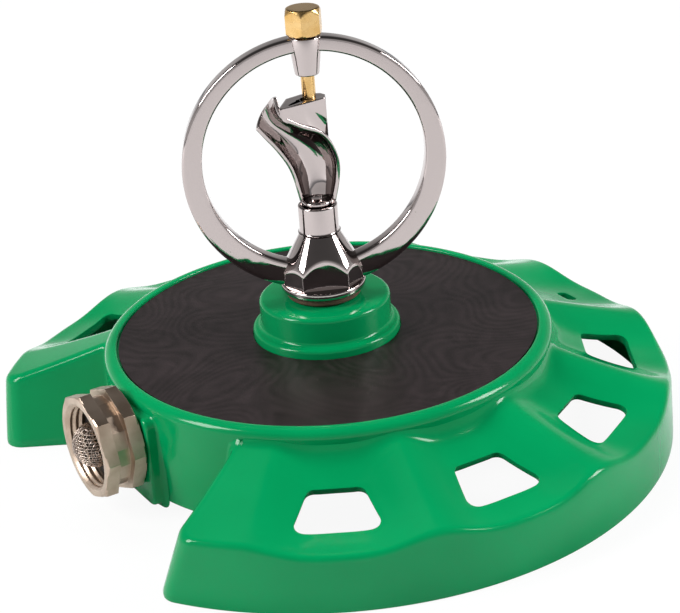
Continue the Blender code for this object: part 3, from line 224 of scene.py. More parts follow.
def skirt_height(x, y):
    """Top of the skirt at a plan point.

    A hollow slope falls from the drum to the band, (1 - s) to a power, higher and
    straighter on the crests.  Against the drum it turns up in a quarter round.
    """
    r = np.hypot(x, y)
    crest = lobe(np.arctan2(x, -y))
    top = HEIGHT_AT_DRUM + CREST_AT_DRUM * crest
    low = HEIGHT_AT_BAND + CREST_AT_BAND * crest
    s = np.clip((r - DRUM_RADIUS) / (BAND_TOP_RADIUS - DRUM_RADIUS), 0.0, 1.0)
    slope = low + (top - low) * (1.0 - s) ** (1.9 - 0.75 * crest)
    fillet = 3.2 - 1.7 * crest
    u = np.clip((r - DRUM_RADIUS) / fillet, 0.04, 1.0)
    rise = 1.0 - np.sqrt(1.0 - (1.0 - u) ** 2)
    steep = np.clip(0.04 - (r - DRUM_RADIUS) / fillet, 0.0, 0.207) * 3.43
    return slope + fillet * (rise + steep)


def wing_outline(t, z):
    """Plan outline of one wing at a height, and its outward normal, t from 0 to 1.

    It leaves the drum in a small fillet, runs out along the leaning end wall,
    turns a rounded corner, and follows the band round to the back.
    """
    lean = NOTCH + NOTCH_LEAN * np.clip(z, 0.0, None) / BAND_CREST
    drum = DRUM_FOOT_RADIUS + 0.8 * np.clip((z - DRUM_FOOT) / 31.2, 0.0, 1.0) - 0.1
    band = BASE_RADIUS - 0.7 * np.clip(z, 0.0, BAND_CREST) / BAND_CREST
    fillet, corner = 3.5, 6.5

    delta = np.arcsin(fillet / (drum + fillet))
    hub = lean - delta
    psi = np.clip(t / FILLET_END, 0.0, 1.0) * (np.pi / 2.0 - delta)
    away = -radial(hub) * np.cos(psi)[..., None] + tangential(hub) * np.sin(psi)[..., None]
    point = radial(hub) * (drum + fillet)[..., None] + fillet * away
    normal = -away

    epsilon = np.arcsin(corner / (band - corner))
    inner = (drum + fillet) * np.cos(delta)
    outer = (band - corner) * np.cos(epsilon)
    f = np.clip((t - FILLET_END) / (WALL_END - FILLET_END), 0.0, 1.0)
    on_line = (t > FILLET_END)[..., None]
    point = np.where(on_line, radial(lean) * (inner + (outer - inner) * f)[..., None], point)
    normal = np.where(on_line, -tangential(lean), normal)

    tip = lean + epsilon
    chi = -epsilon + np.clip((t - WALL_END) / (CORNER_END - WALL_END), 0.0, 1.0) * (np.pi / 2.0 + epsilon)
    turning = -tangential(tip) * np.cos(chi)[..., None] + radial(tip) * np.sin(chi)[..., None]
    on_corner = (t > WALL_END)[..., None]
    point = np.where(on_corner, radial(tip) * (band - corner)[..., None] + corner * turning, point)
    normal = np.where(on_corner, turning, normal)

    to_flat = np.clip((t - CORNER_END) / (FLAT_END - CORNER_END), 0.0, 1.0)
    to_back = np.clip((t - FLAT_END) / (1.0 - FLAT_END), 0.0, 1.0)
    angle = tip + (FLAT_TO - tip) * to_flat + (np.pi - FLAT_TO) * to_back
    on_band = (t > CORNER_END)[..., None]
    point = np.where(on_band, radial(angle) * band[..., None], point)
    normal = np.where(on_band, radial(angle), normal)
    return point, normal


def skirt_sheet():
    """Outer face of the skirt as a grid of columns, each from the drum out and down to the foot.

    A column starts a little inside the drum, fanned so that no two columns cross.
    Its rows run along the top to the edge, round it on a parabola that touches
    the top and the wall, and down the wall, whose last stretch stands upright.
    """
    ends = (0.0, FILLET_END, WALL_END, CORNER_END, FLAT_END)
    t = np.concatenate([np.linspace(a, b, n)[:-1] for a, b, n in zip(ends, ends[1:], (9, 22, 13, 9))]
                       + [np.linspace(FLAT_END, 1.0, 271)])
    z = np.full_like(t, BAND_CREST)
    for _ in range(12):
        edge, normal = wing_outline(t, z)
        z = 0.5 * z + 0.5 * skirt_height(edge[:, 0], edge[:, 1])
    edge, normal = wing_outline(t, z)
    shoulder = edge - EDGE_ROLL * normal
    from_azimuth = np.radians(np.interp(t, [0.0, 0.03, FILLET_END, 0.10, WALL_END, CORNER_END, FLAT_END, 1.0],
                                        [34.7, 37.6, 38.9, 40.2, 42.0, 43.5, 45.0, 180.0]))
    hidden = 0.25 + 5.0 * np.clip(1.0 - t / FILLET_END, 0.0, 1.0)
    start = radial(from_azimuth) * (DRUM_RADIUS - hidden)[:, None]
    s = np.concatenate([np.array([0.0, 0.012, 0.03, 0.055, 0.085, 0.12]), np.linspace(0.15, 1.0, 30)])
    top = start[:, None] + (shoulder - start)[:, None] * s[None, :, None]
    top = np.concatenate([top, skirt_height(top[..., 0], top[..., 1])[..., None]], axis=-1)

    foot_z = np.interp(t, [0.0, 0.07], [DRUM_FOOT, 0.0])
    wall_z = z - EDGE_ROLL
    crown = np.concatenate([edge, z[:, None]], axis=-1)
    below = np.concatenate([wing_outline(t, wall_z)[0], wall_z[:, None]], axis=-1)
    u = np.linspace(0.0, 1.0, 8)[None, 1:-1, None]
    curve = (1 - u) ** 2 * top[:, -1:, :] + 2 * u * (1 - u) * crown[:, None] + u ** 2 * below[:, None]
    w = np.linspace(0.0, 1.0, 12)[None, :]
    upright = foot_z[:, None] + UPRIGHT_FOOT
    down = wall_z[:, None] + (upright - wall_z[:, None]) * w
    down = np.concatenate([down, foot_z[:, None]], axis=1)
    side = wing_outline(np.broadcast_to(t[:, None], down.shape), np.maximum(down, upright))[0]
    wall = np.concatenate([side, down[..., None]], axis=-1)
    half = np.concatenate([top, curve, wall], axis=1)
    other = half[-2::-1] * np.array([-1.0, 1.0, 1.0])
    return np.concatenate([half, other]), len(s)


def window_outline(corners, corner_round, counts):
    """Closed outline with corners rounded on parabolas, and so many even steps from corner to corner."""
    loops = []
    n = len(corners)
    for i in range(n):
        ends = []
        for j in (i, (i + 1) % n):
            before, here, after = (np.array(corners[(j + k) % n], float) for k in (-1, 0, 1))
            a = (before - here) / np.linalg.norm(before - here)
            b = (after - here) / np.linalg.norm(after - here)
            half = 0.5 * math.acos(float(a @ b))
            u = np.linspace(0.0, 1.0, 33)[:, None]
            reach = corner_round / math.tan(half)
            ends.append((1 - u) ** 2 * (here + a * reach) + 2 * u * (1 - u) * (here + 0.12 * reach * (a + b))
                        + u ** 2 * (here + b * reach))
        path = np.concatenate([ends[0][16:], ends[1][:17]])
        run = np.concatenate([[0.0], np.cumsum(np.linalg.norm(np.diff(path, axis=0), axis=1))])
        at = np.linspace(0.0, run[-1], counts[i] + 1)[:-1]
        loops.append(np.column_stack([np.interp(at, run, path[:, k]) for k in (0, 1)]))
    return np.concatenate(loops)


def pierce(grid, columns, rows, corners, corner_round, rings):
    """Patch over a cell of the grid: rings from its border to a window, at the given shares of the way."""
    c0, c1 = columns
    r0, r1 = rows
    border = np.concatenate([grid[c0:c1, r0], grid[c1, r0:r1], grid[c1:c0:-1, r1], grid[c0, r1:r0:-1]])[:, :2]
    outline = window_outline(corners, corner_round, (c1 - c0, r1 - r0, c1 - c0, r1 - r0))
    mix = np.array(rings)[None, :, None]
    plan = border[:, None] * (1.0 - mix) + outline[:, None] * mix
    return np.concatenate([plan, skirt_height(plan[..., 0], plan[..., 1])[..., None]], axis=-1)


sheet, top_rows = skirt_sheet()
keep = np.ones((sheet.shape[0] - 1, sheet.shape[1] - 1), bool)
patches = []
angles = np.arctan2(sheet[:, 10, 0], -sheet[:, 10, 1]) % (2 * np.pi)
radii = np.hypot(sheet[200, :top_rows, 0], sheet[200, :top_rows, 1])
for petal in range(2, 11):
    middle = petal * PETAL
    if petal == SLOT_PETAL:
        spread, low, high = math.radians(5.0), 94.5, 105.5
        near, near_half, far, far_half, corner_round = 97.9, 4.0, 102.1, 4.0, 1.7
    else:
        spread, low, high = math.radians(13.5), 80.5, 107.5
        near, near_half, far, far_half, corner_round = 85.7, 8.3, 102.2, 13.85, 2.8
    plan = [(-near_half, near), (near_half, near), (far_half, far), (-far_half, far)]
    c0 = int(np.argmin(np.abs(angles - (middle - spread))))
    c1 = int(np.argmin(np.abs(angles - (middle + spread))))
    r0 = int(np.argmin(np.abs(radii - low)))
    r1 = int(np.argmin(np.abs(radii - high)))
    out, along = radial(np.array(middle)), tangential(np.array(middle))
    corners = [tuple(out * p[1] + along * p[0]) for p in plan]
    patches.append(pierce(sheet, (c0, c1), (r0, r1), corners, corner_round, (0.0, 0.3, 0.55, 0.78, 1.0)))
    keep[c0:c1, r0:r1] = False

skirt_faces = quads(sheet.shape[0], sheet.shape[1])[keep.reshape(-1)]
skirt_points = [sheet.reshape(-1, 3)]
count = sheet.shape[0] * sheet.shape[1]
for patch in patches:
    faces = quads(patch.shape[0], patch.shape[1], closed=True) + count
    skirt_faces = np.concatenate([skirt_faces, faces])
    skirt_points.append(patch.reshape(-1, 3))
    count += patch.shape[0] * patch.shape[1]
skirt = make_piece("casting_skirt", (np.concatenate(skirt_points), skirt_faces), coat, "base",
                   ("base_casting",), flip=True, sharp=0.0)
thicken(skirt, CAST_WALL, 0.9, even=False)

# Casting: drum, deck and centre boss
# The middle of the same casting, one turned section: the boss that the hub screws
# into, the recessed deck, the rim round the disc, the drum wall and, in the hollow
# below, the riser post.  Four ribs and the waterway run under the deck.

BOSS_TOP = 50.7
DECK = 37.2
DECK_UNDER = 34.2
SKIRT_UNDER = 28.1
RISER_BORE = 8.5
INLET_Z = 23.4


def bend(r, z, radius, start, end, steps=6):
    """Arc in a turned section, angles in degrees from +X towards +Z."""
    turn = np.radians(np.linspace(start, end, steps + 1))
    return np.column_stack([r + radius * np.cos(turn), z + radius * np.sin(turn)]).tolist()


def turned(section, steps):
    """Surface of revolution about the spin axis: a closed section carried round in even steps."""
    section = np.asarray(section, float)
    angle = np.linspace(0.0, 2.0 * np.pi, steps, endpoint=False)
    ring = np.concatenate([section, section[:1]])
    points = np.empty((steps, len(ring), 3))
    points[..., 0] = np.cos(angle)[:, None] * ring[None, :, 0]
    points[..., 1] = np.sin(angle)[:, None] * ring[None, :, 0]
    points[..., 2] = ring[None, :, 1]
    return points, quads(steps, len(ring), closed=True)


drum_section = [(RISER_BORE, BOSS_TOP)]
drum_section += bend(20.4, BOSS_TOP - 1.4, 1.4, 90, 2)
drum_section += bend(23.4, 42.7, 1.6, 180, 264, 7)
drum_section += bend(23.2, 39.7, 1.4, 84, 0)
drum_section += [(24.6, DECK)]
drum_section += [(70.6, DECK)] + bend(71.1, RIM_TOP - 0.5, 0.5, 180, 95, 3)
drum_section += bend(DRUM_RADIUS - RIM_ROUND, RIM_TOP - RIM_ROUND, RIM_ROUND, 88, 1, 9)
drum_section += bend(DRUM_FOOT_RADIUS - 0.8, DRUM_FOOT + 0.8, 0.8, 0, -90, 4)
wall_inside = DRUM_FOOT_RADIUS - CAST_WALL
drum_section += [(wall_inside + 0.3, DRUM_FOOT), (wall_inside, DRUM_FOOT + 0.3)]
drum_section += bend(69.5, DECK_UNDER - 3.0, 3.0, 0, 90)
drum_section += bend(15.5, DECK_UNDER - 2.0, 2.0, 90, 180, 4)
drum_section += bend(12.7, 9.3, 0.8, 0, -90, 4)
drum_section += [(RISER_BORE + 0.3, 8.5), (RISER_BORE, 8.8)]
drum_points, drum_faces = turned(drum_section, 240)
azimuth = np.arctan2(drum_points[..., 0], -drum_points[..., 1])
distance, level = np.hypot(drum_points[..., 0], drum_points[..., 1]), drum_points[..., 2]
in_wall = (distance > 69.0) & (level < SKIRT_UNDER + CREST_AT_DRUM)
# Where the skirt joins it, the wall ends at the skirt's underside; beside the inlet it runs down to the foot.
behind_skirt = np.clip((np.abs(azimuth) - math.radians(37.5)) * 40.0, 0.0, 1.0)
wall_foot = (SKIRT_UNDER + CREST_AT_DRUM * lobe(azimuth)) * behind_skirt
drum_points[..., 2] = np.where(in_wall, np.maximum(level, wall_foot), level)
make_piece("casting_drum", (drum_points, drum_faces), coat, "base", ("base_casting",), flip=True, sharp=60.0)


def plate(outline, thickness, turn):
    """Upright rib: an outline in radius and height, carried across its thickness and swung to its azimuth.

    Near each face the outline is drawn in towards its middle, which rounds the
    edges and closes the face.
    """
    outline = np.asarray(outline, float)
    toward = outline.mean(axis=0) - outline
    toward /= np.linalg.norm(toward, axis=1)[:, None]
    out, along = radial(np.array(turn)), tangential(np.array(turn))
    half = [(0.5, 2.0), (0.5, 0.35), (0.41, 0.1), (0.3, 0.0)]
    rings = []
    for side, inset in [(-share, inset) for share, inset in half] + half[::-1]:
        flat = outline + toward * inset
        plan = flat[:, :1] * out + side * thickness * along
        rings.append(np.column_stack([plan, flat[:, 1]]))
    points = np.stack(rings, axis=1)
    return points, quads(points.shape[0], points.shape[1], closed=True)


def on_inlet(skin):
    """Turn a skin made about Z so that it stands on the inlet axis and runs out of the drum."""
    points, faces = skin
    return np.stack([points[..., 0], -points[..., 2], INLET_Z + points[..., 1]], axis=-1), faces


RIB_FOOT = 6.0
RIB_TOP = 35.6
RIB_OUTLINE = [(12.0, RIB_FOOT), (50.0, RIB_FOOT), (66.0, 22.0), (72.5, 31.0), (72.5, RIB_TOP),
               (12.0, RIB_TOP)]
for trough in (2.5, 4.5, 7.5, 9.5):
    rib = plate(RIB_OUTLINE, 3.0, trough * PETAL)
    make_piece("casting_rib", rib, coat, "base", ("base_casting",), sharp=50.0)

channel = turned([(6.0, 8.0), (10.6, 8.0), (11.0, 8.4), (11.0, 74.0), (6.0, 74.0)], 64)
make_piece("casting_channel", on_inlet(channel), coat, "base", ("base_casting",), sharp=50.0)


# Casting: inlet pad
# Raised pad on the drum that the tailpiece screws into.  It stands 2 mm proud of
# the drum wall, and hangs just below it.

PAD_FACE = 76.8
PAD_HALF = 16.5
PAD_FOOT = 3.3
PAD_CORNER = 3.0
DRUM_AT_PAD = 74.7


def inlet_pad():
    """Oblong with rounded corners, ring by ring, each wider or narrower than the outline by so much.

    The first four rings lie on the drum's wall, or a little out from it, as a small
    fillet; the others lie below the face by so much: the side, the rounded edge
    and the face.
    """
    low, high = PAD_FOOT - INLET_Z, DECK_UNDER - INLET_Z
    middle, reach = (low + high) / 2.0, (high - low) / 2.0
    outline = window_outline([(-PAD_HALF, low), (PAD_HALF, low), (PAD_HALF, high), (-PAD_HALF, high)],
                             PAD_CORNER, (40, 40, 40, 40))
    rings = []
    for wide, off_drum, off_face in ((1.6, -0.3, None), (0.7, 0.1, None), (0.2, 0.5, None), (0.0, 1.0, None),
                                     (0.0, None, 1.0), (-0.15, None, 0.5), (-0.5, None, 0.15),
                                     (-1.0, None, 0.0), (-7.0, None, 0.0)):
        x = outline[:, 0] * (1.0 + wide / PAD_HALF)
        z = middle + (outline[:, 1] - middle) * (1.0 + wide / reach)
        if off_face is None:
            y = np.minimum(np.sqrt(DRUM_AT_PAD ** 2 - x ** 2) + off_drum, PAD_FACE)
        else:
            y = np.full_like(x, PAD_FACE - off_face)
        rings.append(np.column_stack([x, -y, z + INLET_Z]))
    return np.stack(rings, axis=1), quads(len(outline), len(rings), closed=True)


make_piece("casting_inlet_pad", inlet_pad(), coat, "base", ("base_casting",), sharp=60.0)


# Deck disc
# Thin vinyl disc, printed satin black-brown and glued into the recess of the deck,
# so that the rim stands a little above it.

def printed_film():
    """Satin screen-printed vinyl film.

    Nearly even black-brown with a cloudy mottling some 15 mm across, faint whorls
    like wood grain about 2 mm apart printed over it (the sine of a soft noise
    follows its level lines), and a satin gloss that varies with the clouds.
    """
    material, shader, place = new_material("satin_black_printed_film", "black_satin_print")
    swirl = node(material, "TexNoise",
                 {"Vector": place, "Scale": 60.0, "Detail": 4.0, "Roughness": 0.6, "Distortion": 2.2})
    relief = node(material, "TexNoise", {"Vector": place, "Scale": 24.0, "Detail": 0.0, "Distortion": 0.4})
    level = node(material, "Math", {0: relief, 1: 150.0}, operation="MULTIPLY")
    whorl = node(material, "Math", {0: level}, operation="SINE")
    print_tone = node(material, "Math", {0: whorl, 1: 0.11, 2: swirl}, operation="MULTIPLY_ADD")
    tint = node(material, "ValToRGB", {"Fac": print_tone},
                [(0.28, linear("#191313")), (0.74, linear("#282021"))])
    satin = node(material, "MapRange", {"Value": swirl, "To Min": 0.36, "To Max": 0.46})
    fill(shader, {"Base Color": tint, "Roughness": satin, "Specular IOR Level": 0.3})
    return material


def dress(name, material):
    """Give a frame node that keeps its own shape its finish."""
    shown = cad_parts[name]
    shown.data.materials.clear()
    shown.data.materials.append(material)


dress("deck_disc", printed_film())


# Hose swivel: tailpiece, gasket, seals and plug
# Turned brass tailpiece with the fibre gasket behind its flange and the rubber
# rings that seal it.  They show only inside the nut and under the drum.

def turned_brass():
    """Free-cutting brass, turned and left bright.

    Fine tool rings run round it, which the eye sees as a soft stretched gloss;
    the yellow deepens a little in patches where it has dulled.
    """
    material, shader, place = new_material("turned_bright_brass", "brass")
    along = node(material, "Mapping", {"Vector": place, "Scale": (0.05, 0.05, 1.0)})
    rings = node(material, "TexNoise", {"Vector": along, "Scale": 2600.0})
    dull = node(material, "TexNoise", {"Vector": place, "Scale": 150.0, "Detail": 3.0})
    tint = node(material, "ValToRGB", {"Fac": dull}, [(0.35, linear("#C49C5E")), (0.65, linear("#D6B47C"))])
    rough = node(material, "MapRange", {"Value": dull, "To Min": 0.20, "To Max": 0.34})
    bump = node(material, "Bump", {"Height": rings, "Strength": 0.12, "Distance": 0.0001})
    fill(shader, {"Base Color": tint, "Roughness": rough, "Normal": bump, "Metallic": 1.0})
    return material


def moulded_rubber():
    """Black nitrile rubber, pressure moulded: matt, with a faint grey bloom of about 2 mm patches."""
    material, shader, place = new_material("moulded_nitrile_rubber", "rubber")
    bloom = node(material, "TexNoise", {"Vector": place, "Scale": 450.0, "Detail": 3.0})
    tint = node(material, "ValToRGB", {"Fac": bloom}, [(0.0, linear("#161514")), (1.0, linear("#2A2826"))])
    bump = node(material, "Bump", {"Height": bloom, "Strength": 0.2, "Distance": 0.0001})
    fill(shader, {"Base Color": tint, "Normal": bump, "Roughness": 0.62})
    return material


def pressed_fibre():
    """Red-brown vulcanised fibre: its layers show on the edge as fine level streaks; the face is dull."""
    material, shader, place = new_material("pressed_vulcanised_fibre", "fibre")
    flat = node(material, "Mapping", {"Vector": place, "Scale": (0.12, 0.12, 1.0)})
    layers = node(material, "TexNoise", {"Vector": flat, "Scale": 2200.0, "Detail": 3.0})
    tint = node(material, "ValToRGB", {"Fac": layers}, [(0.3, linear("#3A2519")), (0.7, linear("#5E4231"))])
    bump = node(material, "Bump", {"Height": layers, "Strength": 0.3, "Distance": 0.0001})
    fill(shader, {"Base Color": tint, "Normal": bump, "Roughness": 0.6})
    return material


brass = turned_brass()
rubber = moulded_rubber()
fibre = pressed_fibre()
dress("inlet_tailpiece", brass)
dress("channel_plug", brass)
dress("tailpiece_gasket", fibre)
dress("swivel_o_ring", rubber)
dress("hose_washer", rubber)


# Hose swivel: nut
# Octagonal swivel nut of nickel-plated brass, machined from bar: two flanges with
# chamfered corners, a sixteen-sided groove between them, and the hose thread inside.

NUT_ACROSS = 16.4
GROOVE_ACROSS = 14.4
THREAD_PITCH = 2.209
THREAD_BORE = 13.5
THREAD_DEPTH = 0.7
UNCUT = 30.0


def satin_nickel():
    """Bright nickel plate over brass.

    Warm grey with a beige cast; the milled flats keep a fine grain of about
    0.2 mm under the plate, which is drawn twice as coarse so that it shows.
    """
    material, shader, place = new_material("satin_nickel_plate", "nickel_plate")
    drawn = node(material, "Mapping", {"Vector": place, "Scale": (1.0, 0.12, 1.0)})
    grain = node(material, "TexNoise", {"Vector": drawn, "Scale": 2400.0})
    cast = node(material, "TexNoise", {"Vector": place, "Scale": 120.0, "Detail": 3.0})
    tint = node(material, "ValToRGB", {"Fac": cast}, [(0.35, linear("#AE9A88")), (0.65, linear("#C6B3A2"))])
    rough = node(material, "MapRange", {"Value": cast, "To Min": 0.34, "To Max": 0.44})
    bump = node(material, "Bump", {"Height": grain, "Strength": 0.10, "Distance": 0.0001})
    fill(shader, {"Base Color": tint, "Roughness": rough, "Normal": bump, "Metallic": 1.0})
    return material


def soft_polygon(angle, faces, sharpness):
    """Radius of a polygon with slightly rounded corners.

    faces are (azimuth of the normal, distance).  One over the radius is the
    power sum of cosine over distance, which comes near the nearest face.
    """
    near = np.stack([np.clip(np.cos(angle - facing) / distance, 0.0, None) for facing, distance in faces])
    nearest = near.max(axis=0)
    return ((near / nearest) ** sharpness).sum(axis=0) ** (-1.0 / sharpness) / nearest


def even_corners(sides, distance, turn=0.0):
    """Faces of a regular polygon for soft_polygon."""
    return [(turn + 2.0 * math.pi * i / sides, distance) for i in range(sides)]


def stacked(turn, rows):
    """Closed skin over angle and height, from rows of (height, radius at each angle or one for all)."""
    cos, sin = np.cos(turn), np.sin(turn)
    points = np.stack([np.column_stack([radius * cos, radius * sin, np.full_like(turn, height)])
                       for height, radius in rows], axis=1)
    return points, quads(len(turn), len(rows), closed=True)


def nut_surface():
    """Nut as one skin over angle and station: rear face, flanges and groove, mouth, thread, bore.

    An outside row is a circle (0), an octagon cut by a circle (8), which UNCUT is
    too wide to do, or the groove's polygon of 16 sides grown by a small fillet (16).
    """
    turn = (np.arange(32)[:, None] * math.pi / 16.0
            + np.radians([-1.0, -0.45, -0.15, 0.15, 0.45, 1.0])).ravel()
    octagon = soft_polygon(turn, even_corners(8, NUT_ACROSS, math.pi / 8.0), 400.0)
    groove = soft_polygon(turn, even_corners(16, GROOVE_ACROSS, math.pi / 8.0), 400.0)
    outside = [(77.4, 10.6, 0), (77.4, 16.0, 0), (77.4, 16.3, 0), (77.48, 16.55, 8)]
    outside += [(78.2 - 0.12 * k, 17.85 - 0.2 * k, 8) for k in (5, 4, 3, 2, 1, 0)]
    outside += [(78.35, UNCUT, 8), (81.75, UNCUT, 8), (81.9, UNCUT, 8), (82.0, 16.4, 0), (82.0, 15.9, 0),
                (82.0, 14.6, 16), (82.07, 14.45, 16), (82.2, GROOVE_ACROSS, 16), (82.35, GROOVE_ACROSS, 16),
                (86.45, GROOVE_ACROSS, 16), (86.6, GROOVE_ACROSS, 16), (86.73, 14.45, 16), (86.8, 14.6, 16),
                (86.8, 15.9, 0), (86.8, 16.4, 0), (86.9, UNCUT, 8), (87.05, UNCUT, 8), (90.45, UNCUT, 8)]
    outside += [(90.6 + 0.12 * k, 17.85 - 0.2 * k, 8) for k in (0, 1, 2, 3, 4, 5)]
    outside += [(91.32, 16.55, 8), (91.4, 16.3, 0), (91.4, 16.0, 0), (91.4, 14.7, 0), (91.37, 14.5, 0),
                (91.2, 14.25, 0), (90.6, 13.6, 0)]
    shapes = {0: lambda size: size, 8: lambda size: np.minimum(octagon, size),
              16: lambda size: groove + (size - GROOVE_ACROSS)}
    rows = [(station, shapes[sides](size)) for station, size, sides in outside]
    for station in np.linspace(90.4, 85.3, 70):
        wave = 0.5 - 0.5 * np.cos(2.0 * np.pi * (station / THREAD_PITCH) - turn)
        fade = max(min(1.0, (90.5 - station) / 0.7, (station - 85.2) / 0.5), 0.0)
        rows.append((station, THREAD_BORE - THREAD_DEPTH * fade * wave ** 1.3))
    rows += [(85.1, THREAD_BORE), (80.4, THREAD_BORE), (80.1, 13.2), (80.0, 12.9), (80.0, 10.4), (79.8, 10.2),
             (77.6, 10.2), (77.4, 10.6)]
    return stacked(turn, rows)


nickel = satin_nickel()
make_piece("nut", on_inlet(nut_surface()), nickel, "swivel", ("swivel_nut",), sharp=24.0)


# Hose swivel: filter
# Domed inlet filter woven from stainless wire, pressed into a thin rolled rim
# that sits inside the hose washer.

def stainless_wire():
    """Drawn and rolled stainless steel: slightly warm grey, with faint lines that only roughen the gloss."""
    material, shader, place = new_material("drawn_stainless_steel", "stainless")
    lines = node(material, "TexNoise", {"Vector": place, "Scale": 900.0})
    tint = node(material, "ValToRGB", {"Fac": lines}, [(0.0, linear("#9F9086")), (1.0, linear("#C8B8AD"))])
    rough = node(material, "MapRange", {"Value": lines, "To Min": 0.2, "To Max": 0.36})
    fill(shader, {"Base Color": tint, "Roughness": rough, "Metallic": 1.0})
    return material


def woven_dome(ball, foot, side_height):
    """Plain weave over a half ball on a straight side, of tubes at even steps both ways.

    A wire lies on the ball, a little in or out along its normal by a cosine that
    changes sign at each crossing.  Three hoops run round the side.
    """
    pitch, thick, sides = 0.92, 0.16, 5
    ring = np.linspace(0.0, 2.0 * np.pi, sides, endpoint=False)
    lines = []
    for way in (0, 1):
        for k in range(-7, 8):
            offset = (k + 0.5 * way) * pitch
            half = math.sqrt(max(ball ** 2 - offset ** 2, 0.04))
            turn = np.linspace(-math.pi / 2.0, math.pi / 2.0, 91)
            u, height = half * np.sin(turn), half * np.cos(turn)
            wave = 1.0 + 0.011 * np.cos(np.pi * u / pitch + np.pi * (k + way))
            line = np.column_stack([u * wave, offset * wave, foot + side_height + height * wave])
            feet = line[[0, -1]] - np.array([0.0, 0.0, side_height])
            line = np.concatenate([feet[:1], line, feet[1:]])
            lines.append(line[:, [1, 0, 2]] if way else line)
    for level in (0.8, 1.7, 2.6):
        turn = np.linspace(0.0, 2.0 * math.pi, 93)
        around = [ball * np.cos(turn), ball * np.sin(turn), np.full_like(turn, foot + level)]
        lines.append(np.column_stack(around))
    points, faces = [], []
    for line in lines:
        step = np.gradient(line, axis=0)
        step /= np.linalg.norm(step, axis=1)[:, None]
        side = np.cross(step, line * np.array([1.0, 1.0, 0.0]) + np.array([0.001, 0.002, 8.0]))
        side /= np.linalg.norm(side, axis=1)[:, None]
        up = np.cross(side, step)
        tube = line[:, None] + thick * (side[:, None] * np.cos(ring)[None, :, None]
                                        + up[:, None] * np.sin(ring)[None, :, None])
        count = sum(len(p) for p in points)
        a = np.arange(len(line) - 1)[:, None] * sides
        i = np.arange(sides)[None, :]
        j = (i + 1) % sides
        faces.append(np.stack([a + i, a + j, a + sides + j, a + sides + i], axis=-1).reshape(-1, 4) + count)
        points.append(tube.reshape(-1, 3))
    return np.concatenate(points), np.concatenate(faces)


wire = stainless_wire()
weave = woven_dome(ball=7.2, foot=84.4, side_height=3.1)
make_piece("filter_weave", on_inlet(weave), wire, "swivel", ("filter_screen",), flip=True, sharp=0.0)
dress("filter_rim", wire)


# Hub washer and waterway seals
# Fibre washer pinched between the boss and the hub.  Inside the hub are the brass
# jet, its rubber seal, the moulded nylon bush and the steel thrust washer.

def moulded_nylon():
    """Natural white nylon, injection moulded: waxy, slightly clouded, softly glossy."""
    material, shader, place = new_material("moulded_white_nylon", "white_nylon")
    cloud = node(material, "TexNoise", {"Vector": place, "Scale": 300.0})
    tint = node(material, "ValToRGB", {"Fac": cloud}, [(0.0, linear("#D8D5CC")), (1.0, linear("#E9E7DF"))])
    fill(shader, {"Base Color": tint, "Roughness": 0.38})
    return material


dress("hub_washer", fibre)
dress("jet_nozzle", brass)
dress("nozzle_seal", rubber)
dress("lower_bush", moulded_nylon())
dress("thrust_washer", wire)


# Ring frame
# One zinc casting, polished and chromed: eight-sided hub with a turned cone,
# neck, the upright ring, and the boss on top that the brass screw runs in.

RING_TURN = math.radians(65.1)
RING_CENTRE = 96.6
RING_OUTER = 42.8
RING_HOLE = 36.0
HOLE_RISE = 1.9
RING_HALF_DEPTH = 3.0
HUB_END_FLAT = 13.1
HUB_SIDE_FLAT = 10.4
END_FLAT_HALF = 3.1
SLANT_ACROSS = 7.3
SLANT_ALONG = 5.7
HUB_FOOT = 56.0
NECK_FOOT = 73.3


def chrome_plate():
    """Decorative chrome over a hand-polished zinc casting.

    Mirror bright with a slight warm grey; polishing leaves low waves of about
    6 mm in the reflections, and here and there pinholes some 0.3 mm across.
    """
    material, shader, place = new_material("bright_chrome_plate", "chrome")
    wave = node(material, "TexNoise", {"Vector": place, "Scale": 170.0, "Detail": 1.0})
    cells = node(material, "TexVoronoi", {"Vector": place, "Scale": 420.0})
    hole = node(material, "MapRange", {"Value": cells, "From Max": 0.07})
    patch = node(material, "TexNoise", {"Vector": place, "Scale": 60.0, "Detail": 1.0})
    where = node(material, "MapRange", {"Value": patch, "From Min": 0.56, "From Max": 0.64})
    sound = node(material, "Math", {0: 1.0, 1: where}, operation="SUBTRACT")
    polish = node(material, "Math", {0: hole, 1: sound}, operation="MAXIMUM")
    tint = node(material, "ValToRGB", {"Fac": polish}, [(0.0, linear("#524D50")), (1.0, linear("#B1A7A5"))])
    low = node(material, "Bump", {"Height": wave, "Strength": 0.10, "Distance": 0.0006})
    high = node(material, "Bump", {"Height": polish, "Strength": 0.3, "Distance": 0.0001, "Normal": low})
    fill(shader, {"Base Color": tint, "Normal": high, "Metallic": 1.0, "Roughness": 0.045})
    return material


chrome = chrome_plate()


